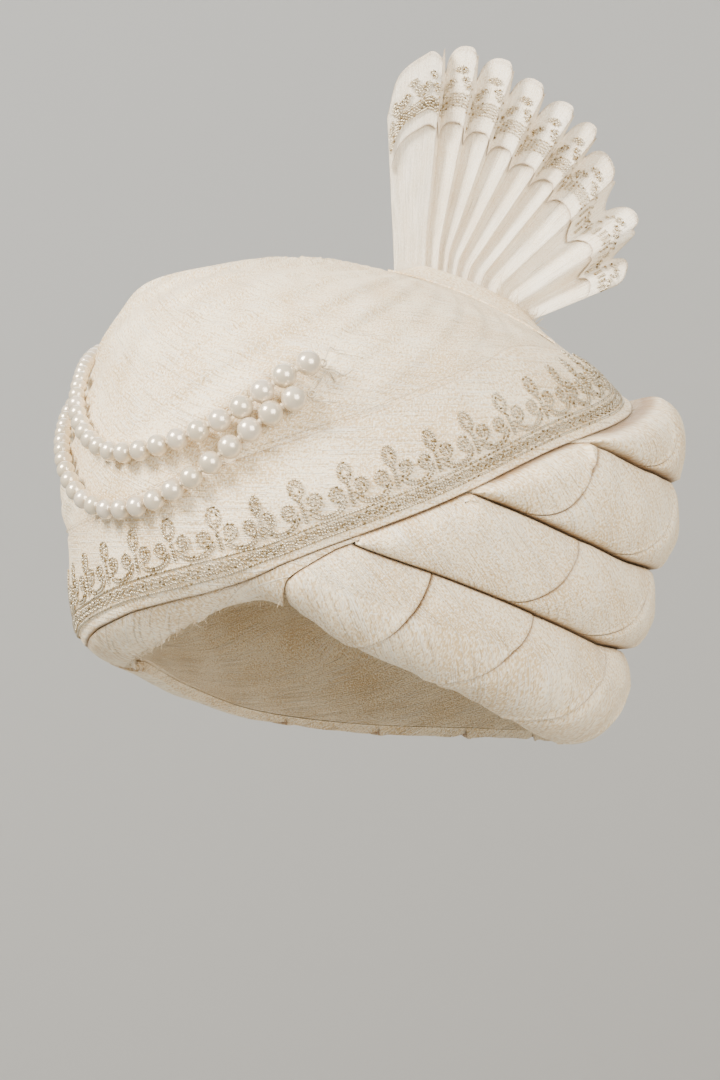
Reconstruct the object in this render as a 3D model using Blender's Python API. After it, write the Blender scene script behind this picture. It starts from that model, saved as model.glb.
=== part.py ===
"""A tied turban (pagri), wound in ivory silk over a hollow crown.

Units are metres and Z is up. X runs to the wearer's left and the face looks along -Y. The origin is the
middle of the head's opening, level with the peak of the rim over the forehead. Around the head, places
are given by a turn in degrees: 0 is the front, and it grows towards the wearer's left.
"""

import math

import bmesh
import bpy
from mathutils import Vector

# The hollow for the head, measured across, front to back, and up from the origin. Its sides are upright
# as far as HEAD_SIDE.
HEAD_WIDTH = 0.164
HEAD_DEPTH = 0.204
HEAD_TOP = 0.116
HEAD_SIDE = 0.012
HEAD_ROUNDNESS = 2.4

# The wound crown's walls over the hollow, and how far its top leans towards the wearer's right front.
SIDE_WALL = 0.025
END_WALL = 0.020
TOP_WALL = 0.0235
CROWN_LEAN = 0.024
LEAN_TURN = 308.0

# The lower rim: how far the back hangs below the origin, and the height and inner lip of its rolled edge.
RIM_DROP = 0.066
RIM_ROLL = 0.016
RIM_LIP = 0.002

# The swirling folds of the crown: depth, spacing, and the degrees that each leans over the crown's height.
FOLD_DEPTH = 0.0018
FOLD_TURN = 15.0
FOLD_SLANT = 111.6
FOLD_FADE = 0.014

# The embroidered band around the crown: its hem and upper crease at their highest, and its thickness.
HEM_HEIGHT = 0.079
CREASE_HEIGHT = 0.100
HIGH_TURN = 127.0
BAND_SEAT = 0.0018
BAND_THICK = 0.0027
BAND_LIFT = 0.0080

# The turned cloth that rolls over the rim from the front to the wearer's right.
ROLL_THICK = 0.0022
ROLL_SHOWN = 0.0070
ROLL_FIRST_TURN = -60.0
PEAK_TURN = 27.0
ROLL_LAST_TURN = 45.0

# The plaited tiers: height of a tier, the least of it that shows, its bulge, and the spacing of its pieces.
TIER_HEIGHT = 0.036
TIER_LEAST = 0.0015
TIER_FULLNESS = 0.028
TIER_NOTCH = 0.005
TIER_TUCK = 2.4
TIER_THIN = 0.0045
TIER_PITCH = 26.0
TIER_COLUMN = 9.0
TIER_STEP = 0.0012
TIER_FIRST_TURN = 30.0
TIER_LAST_TURN = 300.0
TIER_TAPER = 45.0

# The pleated fan: where it points, its root beside, behind and under the crown's top, its size and the
# depth of its pleats. FAN_FOLDS is the share of the crown's folds that its foot rides on.
FAN_FACING = 38.0
FAN_ROOT_SIDE = 0.0323
FAN_ROOT_BACK = 0.016
FAN_ROOT_DROP = 0.0277
FAN_RADIUS = 0.119
FAN_THICK = 0.0022
PLEAT_DEPTH = 0.010
PLEAT_VALLEY = 0.32
PLEAT_FOOT = 0.15
FAN_FOLDS = 0.55
BORDER_FROM = 0.66
BORDER_TO = 0.90
BORDER_THICK = 0.0012

# The soft lip of crown cloth in front of the fan's root.
LIP_THICK = 0.0040
LIP_WIDTH = 0.014

# The strands of pearls: the largest and smallest bead, the thread that shows between them, each bead's
# two rings along and out from its middle, and the share of a strand over which the beads get smaller.
LARGE_PEARL = 0.0104
SMALL_PEARL = 0.0068
THREAD = 0.0016
PEARL_SIDES = 10
PEARL_SHOULDER = 0.24
PEARL_GIRTH = 0.93
GRADED = 0.62

# Clearances between touching pieces.
SEAT = 0.0012
TIER_SEAT = 0.0021
PEARL_SEAT = 0.0018
GAP = 0.0005
TIER_GAP = 0.0010
MERGE = 0.00001

# Crown sections, from the top down. Height is a share of the crown's height over the origin, reach a
# share of its half width and half depth, and lean a share of CROWN_LEAN.
CROWN_SECTIONS = (
    # height, reach, lean
    (1.000, 0.000, 0.96),
    (0.985, 0.220, 1.00),
    (0.953, 0.430, 1.00),
    (0.903, 0.595, 0.85),
    (0.830, 0.730, 0.60),
    (0.745, 0.850, 0.35),
    (0.645, 0.945, 0.09),
    (0.500, 1.005, 0.10),
    (0.290, 1.030, 0.20),
    (0.070, 0.998, 0.18),
    (-0.110, 0.965, 0.14),
    (-0.290, 0.955, 0.12),
    (-0.500, 0.940, 0.09),
)

# The rim's drop below the origin around the head, as a share of RIM_DROP.
RIM_SECTIONS = (
    # turn, drop
    (-180.0, 1.00),
    (-140.0, 0.98),
    (-108.0, 0.87),
    (-85.0, 0.69),
    (-64.0, 0.52),
    (-45.0, 0.45),
    (-24.0, 0.36),
    (-10.0, 0.25),
    (0.0, 0.155),
    (10.0, 0.07),
    (20.0, 0.02),
    (30.0, 0.08),
    (44.0, 0.29),
    (62.0, 0.49),
    (76.0, 0.64),
    (90.0, 0.79),
    (106.0, 0.92),
    (140.0, 0.99),
    (180.0, 1.00),
)

# The band's lower and upper edges, by the angle away from its highest side. Hem is a share of
# HEM_HEIGHT and crease a share of CREASE_HEIGHT.
BAND_SECTIONS = (
    # away, hem, crease
    (0.0, 1.00, 0.97),
    (20.0, 0.88, 1.00),
    (43.0, 0.73, 0.99),
    (65.0, 0.475, 0.83),
    (77.0, 0.35, 0.71),
    (88.0, 0.245, 0.58),
    (100.0, 0.12, 0.49),
    (116.0, 0.015, 0.38),
    (133.0, -0.10, 0.25),
    (147.0, -0.22, 0.16),
    (165.0, -0.30, 0.12),
    (180.0, -0.32, 0.10),
)

# The tiers from the rim up: how full each is, as a share of TIER_FULLNESS, and its visible seams,
# each with the turn at its top and the degrees that it sweeps forward on the way down.
TIERS = (
    # name, fullness, seams
    ("tier_rim", 0.40, ((59.0, 15.0), (82.0, 18.5), (107.0, 20.0))),
    ("tier_lower", 0.72, ((60.0, 12.0), (89.0, 15.0), (116.0, 21.0))),
    ("tier_upper", 0.92, ((90.0, 15.0), (119.0, 22.0))),
    ("tier_top", 1.00, ((117.0, 16.0),)),
)

# The fan's pleat ridges: lean from upright in degrees, reach of the tip as a share of FAN_RADIUS, and
# the ridge's foot beside and above the root, as shares of FAN_RADIUS.
FAN_RIDGES = (
    # lean, reach, foot side, foot height
    (3.0, 1.000, -0.020, 0.240),
    (10.0, 0.990, 0.020, 0.222),
    (18.0, 0.968, 0.045, 0.205),
    (26.0, 0.935, 0.070, 0.180),
    (34.0, 0.920, 0.105, 0.160),
    (41.0, 0.905, 0.150, 0.140),
    (51.0, 0.845, 0.210, 0.115),
    (64.0, 0.813, 0.280, 0.070),
    (77.0, 0.690, 0.340, 0.020),
)

# The flat panel at the fan's upright end: each column's tip and foot beside and above the root, as
# shares of FAN_RADIUS.
FAN_PANEL = (
    # tip side, tip height, foot side, foot height
    (-0.150, 0.760, -0.125, 0.205),
    (-0.110, 0.900, -0.090, 0.215),
    (-0.020, 0.975, -0.055, 0.230),
)

# The pearl strands, from the knot over the wearer's left brow round the wearer's right side.
UPPER_STRAND = (
    # turn, height
    (35.8, 0.0898),
    (28.0, 0.0822),
    (21.0, 0.0716),
    (13.0, 0.0630),
    (4.6, 0.0578),
    (-4.0, 0.0550),
    (-12.5, 0.0572),
    (-21.5, 0.0646),
    (-31.0, 0.0760),
    (-42.0, 0.0890),
    (-56.0, 0.0985),
    (-72.0, 0.1030),
    (-90.0, 0.1020),
)
LOWER_STRAND = (
    # turn, height
    (33.2, 0.0772),
    (26.0, 0.0680),
    (19.5, 0.0562),
    (12.6, 0.0453),
    (5.0, 0.0377),
    (-3.5, 0.0342),
    (-11.5, 0.0350),
    (-19.0, 0.0397),
    (-25.5, 0.0471),
    (-34.0, 0.0580),
    (-44.0, 0.0695),
    (-56.0, 0.0810),
    (-72.0, 0.0890),
    (-90.0, 0.0895),
)

# The columns round the crown and its band, the crown's rows from rim to top, and the shares of them
# that end its rolled rim and its banded wall.
CROWN_COLUMNS = 48
CROWN_ROWS = 13
CROWN_ROLLED = 3 / CROWN_ROWS
CROWN_BANDED = 7 / CROWN_ROWS

HALF_WIDTH = HEAD_WIDTH / 2 + SIDE_WALL
HALF_DEPTH = HEAD_DEPTH / 2 + END_WALL
CROWN_TOP = HEAD_TOP + TOP_WALL
RIM_GROUND = ROLL_THICK + GAP


def smooth(share):
    """Ease from 0 to 1 without a corner at either end."""
    share = min(max(share, 0.0), 1.0)
    return share * share * (3 - 2 * share)


def blend(first, second, share):
    return first + (second - first) * share


def between(rows, place, column=1):
    """Read a column of a table at a place in its first column, along a smooth line through the rows."""
    if place <= rows[0][0]:
        return rows[0][column]
    for index in range(len(rows) - 1):
        here, there = rows[index], rows[index + 1]
        if place <= there[0]:
            before = rows[max(index - 1, 0)]
            after = rows[min(index + 2, len(rows) - 1)]
            width = there[0] - here[0]
            share = (place - here[0]) / width
            start = (there[column] - before[column]) / max(there[0] - before[0], MERGE) * width
            end = (after[column] - here[column]) / max(after[0] - here[0], MERGE) * width
            cubed = share ** 3
            squared = share ** 2
            return (here[column] * (2 * cubed - 3 * squared + 1) + start * (cubed - 2 * squared + share)
                    + there[column] * (3 * squared - 2 * cubed) + end * (cubed - squared))
    return rows[-1][column]


def wrapped(turn):
    """The same turn between -180 and 180 degrees."""
    return (turn + 180.0) % 360.0 - 180.0


def away(turn):
    """Degrees between a turn and the band's highest side."""
    return abs(wrapped(turn - HIGH_TURN))


def rim_height(turn):
    return -RIM_DROP * between(RIM_SECTIONS, wrapped(turn))


def hem_height(turn):
    return HEM_HEIGHT * between(BAND_SECTIONS, away(turn), 1)


def crease_height(turn):
    return CREASE_HEIGHT * between(BAND_SECTIONS, away(turn), 2)


def profile_points(steps=12):
    """The crown's sections on a smooth line from its top down, as rows of height, reach and lean."""
    rows = [(height * CROWN_TOP, reach, lean * CROWN_LEAN) for height, reach, lean in CROWN_SECTIONS]
    mirrored = (rows[1][0], -rows[1][1], rows[1][2])
    padded = [mirrored] + rows + [rows[-1]]
    points = []
    for index in range(1, len(padded) - 2):
        before, here, there, after = padded[index - 1:index + 3]
        for step in range(steps):
            t = step / steps
            points.append(tuple(
                0.5 * (2 * here[k] + (there[k] - before[k]) * t
                       + (2 * before[k] - 5 * here[k] + 4 * there[k] - after[k]) * t ** 2
                       + (3 * here[k] - before[k] - 3 * there[k] + after[k]) * t ** 3)
                for k in range(3)))
    points.append(rows[-1])
    return points


PROFILE = profile_points()


def section(height):
    """The crown's reach and lean at a height."""
    for upper, lower in zip(PROFILE, PROFILE[1:]):
        if height >= lower[0]:
            share = (upper[0] - min(height, upper[0])) / max(upper[0] - lower[0], 1e-9)
            return blend(upper[1], lower[1], share), blend(upper[2], lower[2], share)
    return PROFILE[-1][1], PROFILE[-1][2]


def oval(turn, half_width, half_depth, height, lean=0.0):
    """A point on an oval around the head's axis."""
    angle = math.radians(turn)
    side = math.radians(LEAN_TURN)
    return Vector((half_width * math.sin(angle) + lean * math.sin(side),
                   -half_depth * math.cos(angle) - lean * math.cos(side),
                   height))


def wall_point(turn, rise):
    """The crown's plain surface at a rise above the rim, rolled in at the bottom to the head."""
    base = rim_height(turn) + RIM_GROUND
    height = base + max(rise, RIM_ROLL)
    reach, lean = section(height)
    outer = oval(turn, HALF_WIDTH * reach, HALF_DEPTH * reach, height, lean)
    if rise >= RIM_ROLL:
        return outer
    inner = oval(turn, HEAD_WIDTH / 2 + RIM_LIP, HEAD_DEPTH / 2 + RIM_LIP, height)
    angle = math.pi / 2 * rise / RIM_ROLL
    point = inner.lerp(outer, math.sin(angle))
    point.z = base + RIM_ROLL * (1 - math.cos(angle))
    return point


def rise_at(turn, height):
    """The rise at which the crown's plain surface reaches a height."""
    above = max(height - rim_height(turn) - RIM_GROUND, 0.0)
    if above >= RIM_ROLL:
        return above
    return RIM_ROLL * math.acos(1 - above / RIM_ROLL) / (math.pi / 2)


def wall(turn, rise, out=0.0):
    """The crown's surface moved out along its normal."""
    step = RIM_ROLL / 8
    point = wall_point(turn, rise)
    across = wall_point(turn + 1.0, rise) - wall_point(turn - 1.0, rise)
    up = wall_point(turn, rise + step) - wall_point(turn, max(rise - step, 0.0))
    return point + across.cross(up).normalized() * out


def fold(turn, height):
    """How far the crown's swirling folds stand out above the band."""
    start = smooth((height - crease_height(turn)) / FOLD_FADE)
    top = smooth(section(height)[0] / 0.6)
    wave = 0.5 + 0.5 * math.cos(math.radians((turn - FOLD_SLANT * height / CROWN_TOP) * 360.0 / FOLD_TURN))
    return FOLD_DEPTH * start * top * wave


def crown_outer(u, v):
    """The crown's outside: the rolled rim, the wall under the band, and the folds up to the top."""
    turn = 360.0 * u
    if v <= CROWN_ROLLED:
        return wall_point(turn, RIM_ROLL * v / CROWN_ROLLED)
    rolled = rim_height(turn) + RIM_GROUND + RIM_ROLL
    crease = crease_height(turn)
    if v >= 1.0:
        return oval(0.0, 0.0, 0.0, CROWN_TOP, section(CROWN_TOP)[1])
    if v <= CROWN_BANDED:
        height = blend(rolled, crease, (v - CROWN_ROLLED) / (CROWN_BANDED - CROWN_ROLLED))
    else:
        share = math.sin(math.pi / 2 * (v - CROWN_BANDED) / (1 - CROWN_BANDED))
        height = blend(crease, CROWN_TOP, share)
    return wall(turn, rise_at(turn, height), fold(turn, height))


def crown_inner(u, v):
    """The hollow for the head, from the rim at v = 0 to its top at v = 1."""
    turn = 360.0 * u
    straight = 0.4
    base = rim_height(turn) + RIM_GROUND
    if v <= straight:
        return oval(turn, HEAD_WIDTH / 2, HEAD_DEPTH / 2, blend(base, HEAD_SIDE, v / straight))
    angle = math.pi / 2 * (v - straight) / (1 - straight)
    reach = max(math.cos(angle), 0.0) ** (2 / HEAD_ROUNDNESS)
    if v >= 1.0:
        reach = 0.0
    height = blend(HEAD_SIDE, HEAD_TOP, math.sin(angle) ** (2 / HEAD_ROUNDNESS))
    return oval(turn, HEAD_WIDTH / 2 * reach, HEAD_DEPTH / 2 * reach, height)


def band_lift(turn):
    """How far the band rides up on the tiers that pass beneath its hem."""
    return BAND_LIFT * (1 - smooth((away(turn) - 15.0) / 75.0))


def band_height(turn, v):
    """Heights across the band, closer together at its hem."""
    return blend(hem_height(turn), crease_height(turn), v ** 1.5)


def band_outer(u, v):
    turn = 360.0 * u
    height = band_height(turn, v)
    thick = BAND_THICK + band_lift(turn) * (1 - v) ** 1.5
    return wall(turn, rise_at(turn, height), BAND_SEAT + thick)


def band_inner(u, v):
    turn = 360.0 * u
    height = band_height(turn, v)
    return wall(turn, rise_at(turn, height), BAND_SEAT)


def roll_end(turn):
    """The rise at which the rolled cloth ends: the rim's lip, or past the peak a fold below the hem."""
    share = smooth((turn - PEAK_TURN) / 4.0)
    shown = ROLL_SHOWN * max(1 - (turn - PEAK_TURN) / (ROLL_LAST_TURN - PEAK_TURN), 0.25)
    return blend(0.0, rise_at(turn, hem_height(turn) - shown), share)


def roll_place(u, v):
    turn = blend(ROLL_FIRST_TURN, ROLL_LAST_TURN, u)
    top = rise_at(turn, hem_height(turn) - TIER_GAP)
    return turn, blend(roll_end(turn), top, v)


def roll_outer(u, v):
    turn, rise = roll_place(u, v)
    return wall(turn, rise, TIER_SEAT + ROLL_THICK)


def roll_inner(u, v):
    turn, rise = roll_place(u, v)
    return wall(turn, rise, TIER_SEAT)


def tier_ceiling(turn):
    """The height under which every tier stays: the hem, or the fold of the roll past the peak."""
    top = hem_height(turn) - TIER_GAP
    if PEAK_TURN < turn <= ROLL_LAST_TURN:
        return rim_height(turn) + RIM_GROUND + roll_end_height(turn) - TIER_GAP
    return top


def roll_end_height(turn):
    """How far the rolled cloth's lower edge stands over the rim."""
    rise = roll_end(turn)
    if rise >= RIM_ROLL:
        return rise
    return RIM_ROLL * (1 - math.cos(math.pi / 2 * rise / RIM_ROLL))


def tier_room(turn, tier):
    """The height left for a tier between its foot and the ceiling."""
    return tier_ceiling(turn) - (rim_height(turn) + RIM_GROUND + tier * TIER_HEIGHT)


def tier_span(tier):
    """The turns between which a tier shows below the band."""
    shown = 0.15 * TIER_HEIGHT if tier else 0.0
    turns = [TIER_FIRST_TURN + step for step in range(int(TIER_LAST_TURN - TIER_FIRST_TURN) + 1)]
    room = [turn for turn in turns if tier_room(turn, tier) >= shown]
    return room[0], room[-1]


def seam_turn(top_turn, sweep, drop):
    """A seam's turn on its way down a tier, from drop 0 at its top to 1 at its foot."""
    return top_turn - sweep * (0.35 * drop + 0.65 * (1 - math.sqrt(max(1 - drop ** 2, 0.0))))


def tier_seams(tier):
    """Every seam of a tier, the hidden ones at an even pitch, with its two ends."""
    first, last = tier_span(tier)
    seams = [(first, 0.0)]
    seams += [seam for seam in TIERS[tier][2] if seam[0] - seam[1] > first + 3.0]
    while seams[-1][0] + 1.5 * TIER_PITCH < last:
        seams.append((seams[-1][0] + TIER_PITCH, TIERS[tier][2][-1][1]))
    seams.append((last, 0.0))
    return seams


def tier_place(tier, front, rear, u, v):
    """The turn and rise of a place in a tier's piece, and its drop from the tier's top."""
    drop = math.sin(math.pi / 2 * (1 - v))
    edge = 0.5 * TIER_GAP / HALF_WIDTH * 180.0 / math.pi
    turn = blend(seam_turn(*front, drop) + edge, seam_turn(*rear, drop) - edge, u)
    foot = tier * TIER_HEIGHT + (TIER_GAP if tier else 0.0)
    ceiling = tier_ceiling(turn) - rim_height(turn) - RIM_GROUND
    head = min((tier + 1) * TIER_HEIGHT, max(ceiling, foot + TIER_LEAST))
    rise = blend(head, foot, drop)
    if rise < RIM_ROLL:
        rise = rise_at(turn, rim_height(turn) + RIM_GROUND + rise)
    return turn, rise, drop


def tier_growth(turn):
    """Tiers lie flat where they leave the band at the front, and fill out towards the back."""
    return 1 - 0.75 * smooth((away(turn) - 12.0) / 80.0)


def tier_piece(tier, front, rear):
    full = TIER_FULLNESS * TIERS[tier][1]
    last = tier_span(tier)[1]

    def outer(u, v):
        turn, rise, drop = tier_place(tier, front, rear, u, v)
        growth = tier_growth(turn) * smooth((last - turn) / TIER_TAPER)
        bulge = 1 - math.sqrt(max(4 * drop * (1 - drop), 0.0))
        tucked = TIER_TUCK if drop < 0.5 and tier_room(turn, tier) < TIER_HEIGHT else 1.0
        thick = max(full * growth - TIER_NOTCH * tucked * growth * bulge, TIER_THIN * (1 - 0.4 * bulge))
        thick += TIER_STEP * (0.5 - u)
        if tier == 0:
            rolled = smooth(rise / (1.4 * RIM_ROLL))
            thick = blend(ROLL_THICK, thick, rolled)
        return wall(turn, rise, TIER_SEAT + thick)

    def inner(u, v):
        turn, rise, drop = tier_place(tier, front, rear, u, v)
        return wall(turn, rise, TIER_SEAT)

    return outer, inner


def fan_point(side, height, forward):
    """A point in the fan's own upright plane, measured from its root."""
    angle = math.radians(FAN_FACING)
    right = Vector((math.cos(angle), math.sin(angle), 0.0))
    front = Vector((math.sin(angle), -math.cos(angle), 0.0))
    place = right * (FAN_ROOT_SIDE + side) + front * (forward - FAN_ROOT_BACK)
    place.z = CROWN_TOP - FAN_ROOT_DROP + height
    return place


def fan_columns():
    """The fan's panel, ridges and valleys, as rows of tip side, tip height, foot side, foot height and
    how far the column lies forward, from -1 in a valley to 1 on a ridge."""
    columns = [tuple(FAN_RADIUS * value for value in row) + (0.3,) for row in FAN_PANEL]
    for index, (lean, reach, foot_side, foot_height) in enumerate(FAN_RIDGES):
        angle = math.radians(lean)
        tip = (FAN_RADIUS * reach * math.sin(angle), FAN_RADIUS * reach * math.cos(angle))
        columns.append(tip + (FAN_RADIUS * foot_side, FAN_RADIUS * foot_height, 1.0))
        if index + 1 < len(FAN_RIDGES):
            after = FAN_RIDGES[index + 1]
            valley = math.radians(blend(lean, after[0], PLEAT_VALLEY))
            inner = FAN_RADIUS * 0.96 * blend(reach, after[1], PLEAT_VALLEY)
            foot = [FAN_RADIUS * blend(first, second, PLEAT_VALLEY)
                    for first, second in zip((foot_side, foot_height), after[2:])]
            columns.append((inner * math.sin(valley), inner * math.cos(valley), foot[0], foot[1], -1.0))
    return columns


def crown_height_at(x, y):
    """The crown's height over a point near its top, with its folds at their fullest."""
    low = 0.5 * CROWN_TOP
    high = CROWN_TOP
    side = math.radians(LEAN_TURN)
    for step in range(30):
        height = (low + high) / 2
        reach, lean = section(height)
        across = (x - lean * math.sin(side)) / max(HALF_WIDTH * reach, MERGE)
        along = (y + lean * math.cos(side)) / max(HALF_DEPTH * reach, MERGE)
        if across ** 2 + along ** 2 > 1:
            high = height
        else:
            low = height
    return low + FAN_FOLDS * FOLD_DEPTH


def fan_sheet(from_share, to_share, near, far):
    """The front and back of a layer of the fan between two shares of its length."""
    columns = fan_columns()

    def lay(u, v, forward):
        index = min(int(round(u * (len(columns) - 1))), len(columns) - 1)
        tip_side, tip_height, foot_side, foot_height, ridge = columns[index]
        share = blend(from_share, to_share, v)
        side = blend(foot_side, tip_side, share)
        height = blend(foot_height, tip_height, share)
        depth = ridge * PLEAT_DEPTH / 2 * blend(PLEAT_FOOT, 1.0, share)
        point = fan_point(side, height, depth + forward)
        if share <= 0.0:
            point.z = crown_height_at(point.x, point.y) + GAP
        return point

    return (lambda u, v: lay(u, v, near)), (lambda u, v: lay(u, v, far)), len(columns) - 1


def lip_outer(u, v):
    """The soft fold of crown cloth in front of the fan's root."""
    thick = LIP_THICK * math.sin(math.pi * blend(0.15, 0.85, v)) * math.sin(math.pi * blend(0.12, 0.88, u))
    return lip_place(u, v, GAP + thick)


def lip_inner(u, v):
    return lip_place(u, v, GAP)


def lip_place(u, v, out):
    reach = FAN_RADIUS * (FAN_RIDGES[-1][2] + 0.12)
    side = blend(FAN_RADIUS * FAN_PANEL[0][2], reach, u)
    forward = PLEAT_DEPTH / 2 * PLEAT_FOOT + 2 * GAP + LIP_WIDTH * (1 - v)
    point = fan_point(side, 0.0, forward)
    point.z = crown_height_at(point.x, point.y) + out
    return point


def cloth(name, outer, inner, columns, rows, stuff, ring=False):
    """A closed layer of cloth: a grid laid on its outer face, and its extrusion laid on its inner face."""
    mesh = bpy.data.meshes.new(name)
    model = bmesh.new()
    across = model.verts.layers.float.new("across")
    along = model.verts.layers.float.new("along")
    bmesh.ops.create_grid(model, x_segments=columns, y_segments=rows, size=0.5)
    for vert in model.verts:
        vert[across] = min(max(vert.co.x + 0.5, 0.0), 1.0)
        vert[along] = min(max(vert.co.y + 0.5, 0.0), 1.0)
    for vert in model.verts:
        vert.co = outer(vert[across], vert[along])
    if ring:
        bmesh.ops.remove_doubles(model, verts=model.verts, dist=MERGE)
    made = bmesh.ops.extrude_face_region(model, geom=list(model.faces))
    for item in made["geom"]:
        if isinstance(item, bmesh.types.BMVert):
            item.co = inner(item[across], item[along])
    bmesh.ops.recalc_face_normals(model, faces=model.faces)
    model.to_mesh(mesh)
    model.free()
    return place(name, mesh, stuff)


def place(name, mesh, stuff):
    """Put a mesh into the turban's collection with its material, smooth but for its sharp edges."""
    piece = bpy.data.objects.new(name, mesh)
    mesh.materials.append(stuff)
    mesh.shade_smooth()
    mesh.set_sharp_from_angle(angle=math.radians(50))
    TURBAN.objects.link(piece)
    return piece


def strand_path(route, steps=60):
    """Close points on the crown along a strand's smooth route, with the way out of the crown at each."""
    rows = [(index, turn, height) for index, (turn, height) in enumerate(route)]
    lift = PEARL_SEAT
    points = []
    for step in range((len(route) - 1) * steps + 1):
        turn = between(rows, step / steps, 1)
        rise = rise_at(turn, between(rows, step / steps, 2))
        point = wall(turn, rise, lift)
        points.append((point, (wall(turn, rise, 2 * lift) - point).normalized()))
    return points


def pearl_strand(name, route, stuff):
    """A whole strand of graded pearls on its thread, as one turned and swept surface."""
    path = strand_path(route)
    lengths = [0.0]
    for here, there in zip(path, path[1:]):
        lengths.append(lengths[-1] + (there[0] - here[0]).length)
    whole = lengths[-1]
    rings = []
    start = 0.0
    while True:
        size = blend(LARGE_PEARL, SMALL_PEARL, min(start / (GRADED * whole), 1.0))
        if start + size > whole:
            break
        radius = size / 2
        rings += [(start, THREAD / 2, radius),
                  (start + PEARL_SHOULDER * size, PEARL_GIRTH * radius, radius),
                  (start + (1 - PEARL_SHOULDER) * size, PEARL_GIRTH * radius, radius)]
        start += size
    rings.append((start, THREAD / 2, radius))
    mesh = bpy.data.meshes.new(name)
    model = bmesh.new()
    bmesh.ops.create_grid(model, x_segments=PEARL_SIDES, y_segments=len(rings) - 1, size=0.5)
    grid = [(vert, vert.co.x + 0.5, vert.co.y + 0.5) for vert in model.verts]
    for vert, around, along in grid:
        distance, radius, seat = rings[int(round(along * (len(rings) - 1)))]
        index = max(i for i, length in enumerate(lengths) if length <= distance)
        nearby = min(index + 1, len(path) - 1)
        forward = (path[nearby][0] - path[max(nearby - 2, 0)][0]).normalized()
        share = (distance - lengths[index]) / max(lengths[nearby] - lengths[index], 1e-9)
        out = path[index][1]
        centre = path[index][0].lerp(path[nearby][0], share) + out * seat
        beside = forward.cross(out).normalized()
        out = beside.cross(forward)
        angle = 2 * math.pi * around
        vert.co = centre + (out * math.cos(angle) + beside * math.sin(angle)) * radius
    bmesh.ops.remove_doubles(model, verts=model.verts, dist=MERGE)
    bmesh.ops.holes_fill(model, edges=model.edges, sides=PEARL_SIDES)
    bmesh.ops.recalc_face_normals(model, faces=model.faces)
    model.to_mesh(mesh)
    model.free()
    return place(name, mesh, stuff)


def material(name, colour, roughness, metallic=0.0):
    made = bpy.data.materials.new(name)
    made.use_nodes = True
    shader = made.node_tree.nodes["Principled BSDF"]
    shader.inputs["Base Color"].default_value = (*colour, 1.0)
    shader.inputs["Roughness"].default_value = roughness
    shader.inputs["Metallic"].default_value = metallic
    return made


def make_crown():
    silk = material("crown_silk", (0.71, 0.63, 0.50), 0.72)
    cloth("crown", crown_outer, crown_inner, CROWN_COLUMNS, CROWN_ROWS, silk, ring=True)


def make_band():
    silk = material("band_silk", (0.68, 0.60, 0.47), 0.66)
    cloth("embroidered_band", band_outer, band_inner, CROWN_COLUMNS, 4, silk, ring=True)


def make_rim_roll():
    silk = material("roll_silk", (0.66, 0.58, 0.46), 0.74)
    columns = 2 * round((ROLL_LAST_TURN - ROLL_FIRST_TURN) * CROWN_COLUMNS / 360.0)
    cloth("rim_roll", roll_outer, roll_inner, columns, 4, silk)


def make_tiers():
    silk = material("tier_silk", (0.69, 0.61, 0.49), 0.72)
    for tier, (name, fullness, seams) in enumerate(TIERS):
        ends = tier_seams(tier)
        for number, (front, rear) in enumerate(zip(ends, ends[1:]), start=1):
            outer, inner = tier_piece(tier, front, rear)
            columns = math.ceil((rear[0] - front[0]) / TIER_COLUMN)
            if front[0] < ROLL_LAST_TURN:
                columns *= 2
            cloth(f"{name}_{number:02d}", outer, inner, columns, 5, silk)


def make_fan():
    silk = material("fan_silk", (0.76, 0.69, 0.58), 0.68)
    zari = material("fan_zari", (0.52, 0.46, 0.36), 0.45, 0.4)
    front, back, columns = fan_sheet(0.0, 1.0, 0.0, -FAN_THICK)
    cloth("fan_leaf", front, back, columns, 5, silk)
    near = GAP + BORDER_THICK
    front, back, columns = fan_sheet(BORDER_FROM, BORDER_TO, near, GAP)
    cloth("fan_border", front, back, columns, 2, zari)
    cloth("fan_lip", lip_outer, lip_inner, 8, 3, silk)


def make_pearls():
    pearl = material("pearl", (0.80, 0.76, 0.68), 0.22)
    pearl_strand("pearl_strand_upper", UPPER_STRAND, pearl)
    pearl_strand("pearl_strand_lower", LOWER_STRAND, pearl)


for leftover in list(bpy.data.objects):
    bpy.data.objects.remove(leftover, do_unlink=True)
TURBAN = bpy.data.collections.new("turban")
bpy.context.scene.collection.children.link(TURBAN)
make_crown()
make_band()
make_rim_roll()
make_tiers()
make_fan()
make_pearls()
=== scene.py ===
"""A tied turban (pagri) in ivory raw silk, with a pleated fan and two strands of pearls, on a pale stage.

Units are metres and Z is up. X runs to the wearer's left and the face looks along -Y. Around the head,
places are given by a turn in degrees: 0 is the front, and it grows towards the wearer's left.
"""

import math

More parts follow.
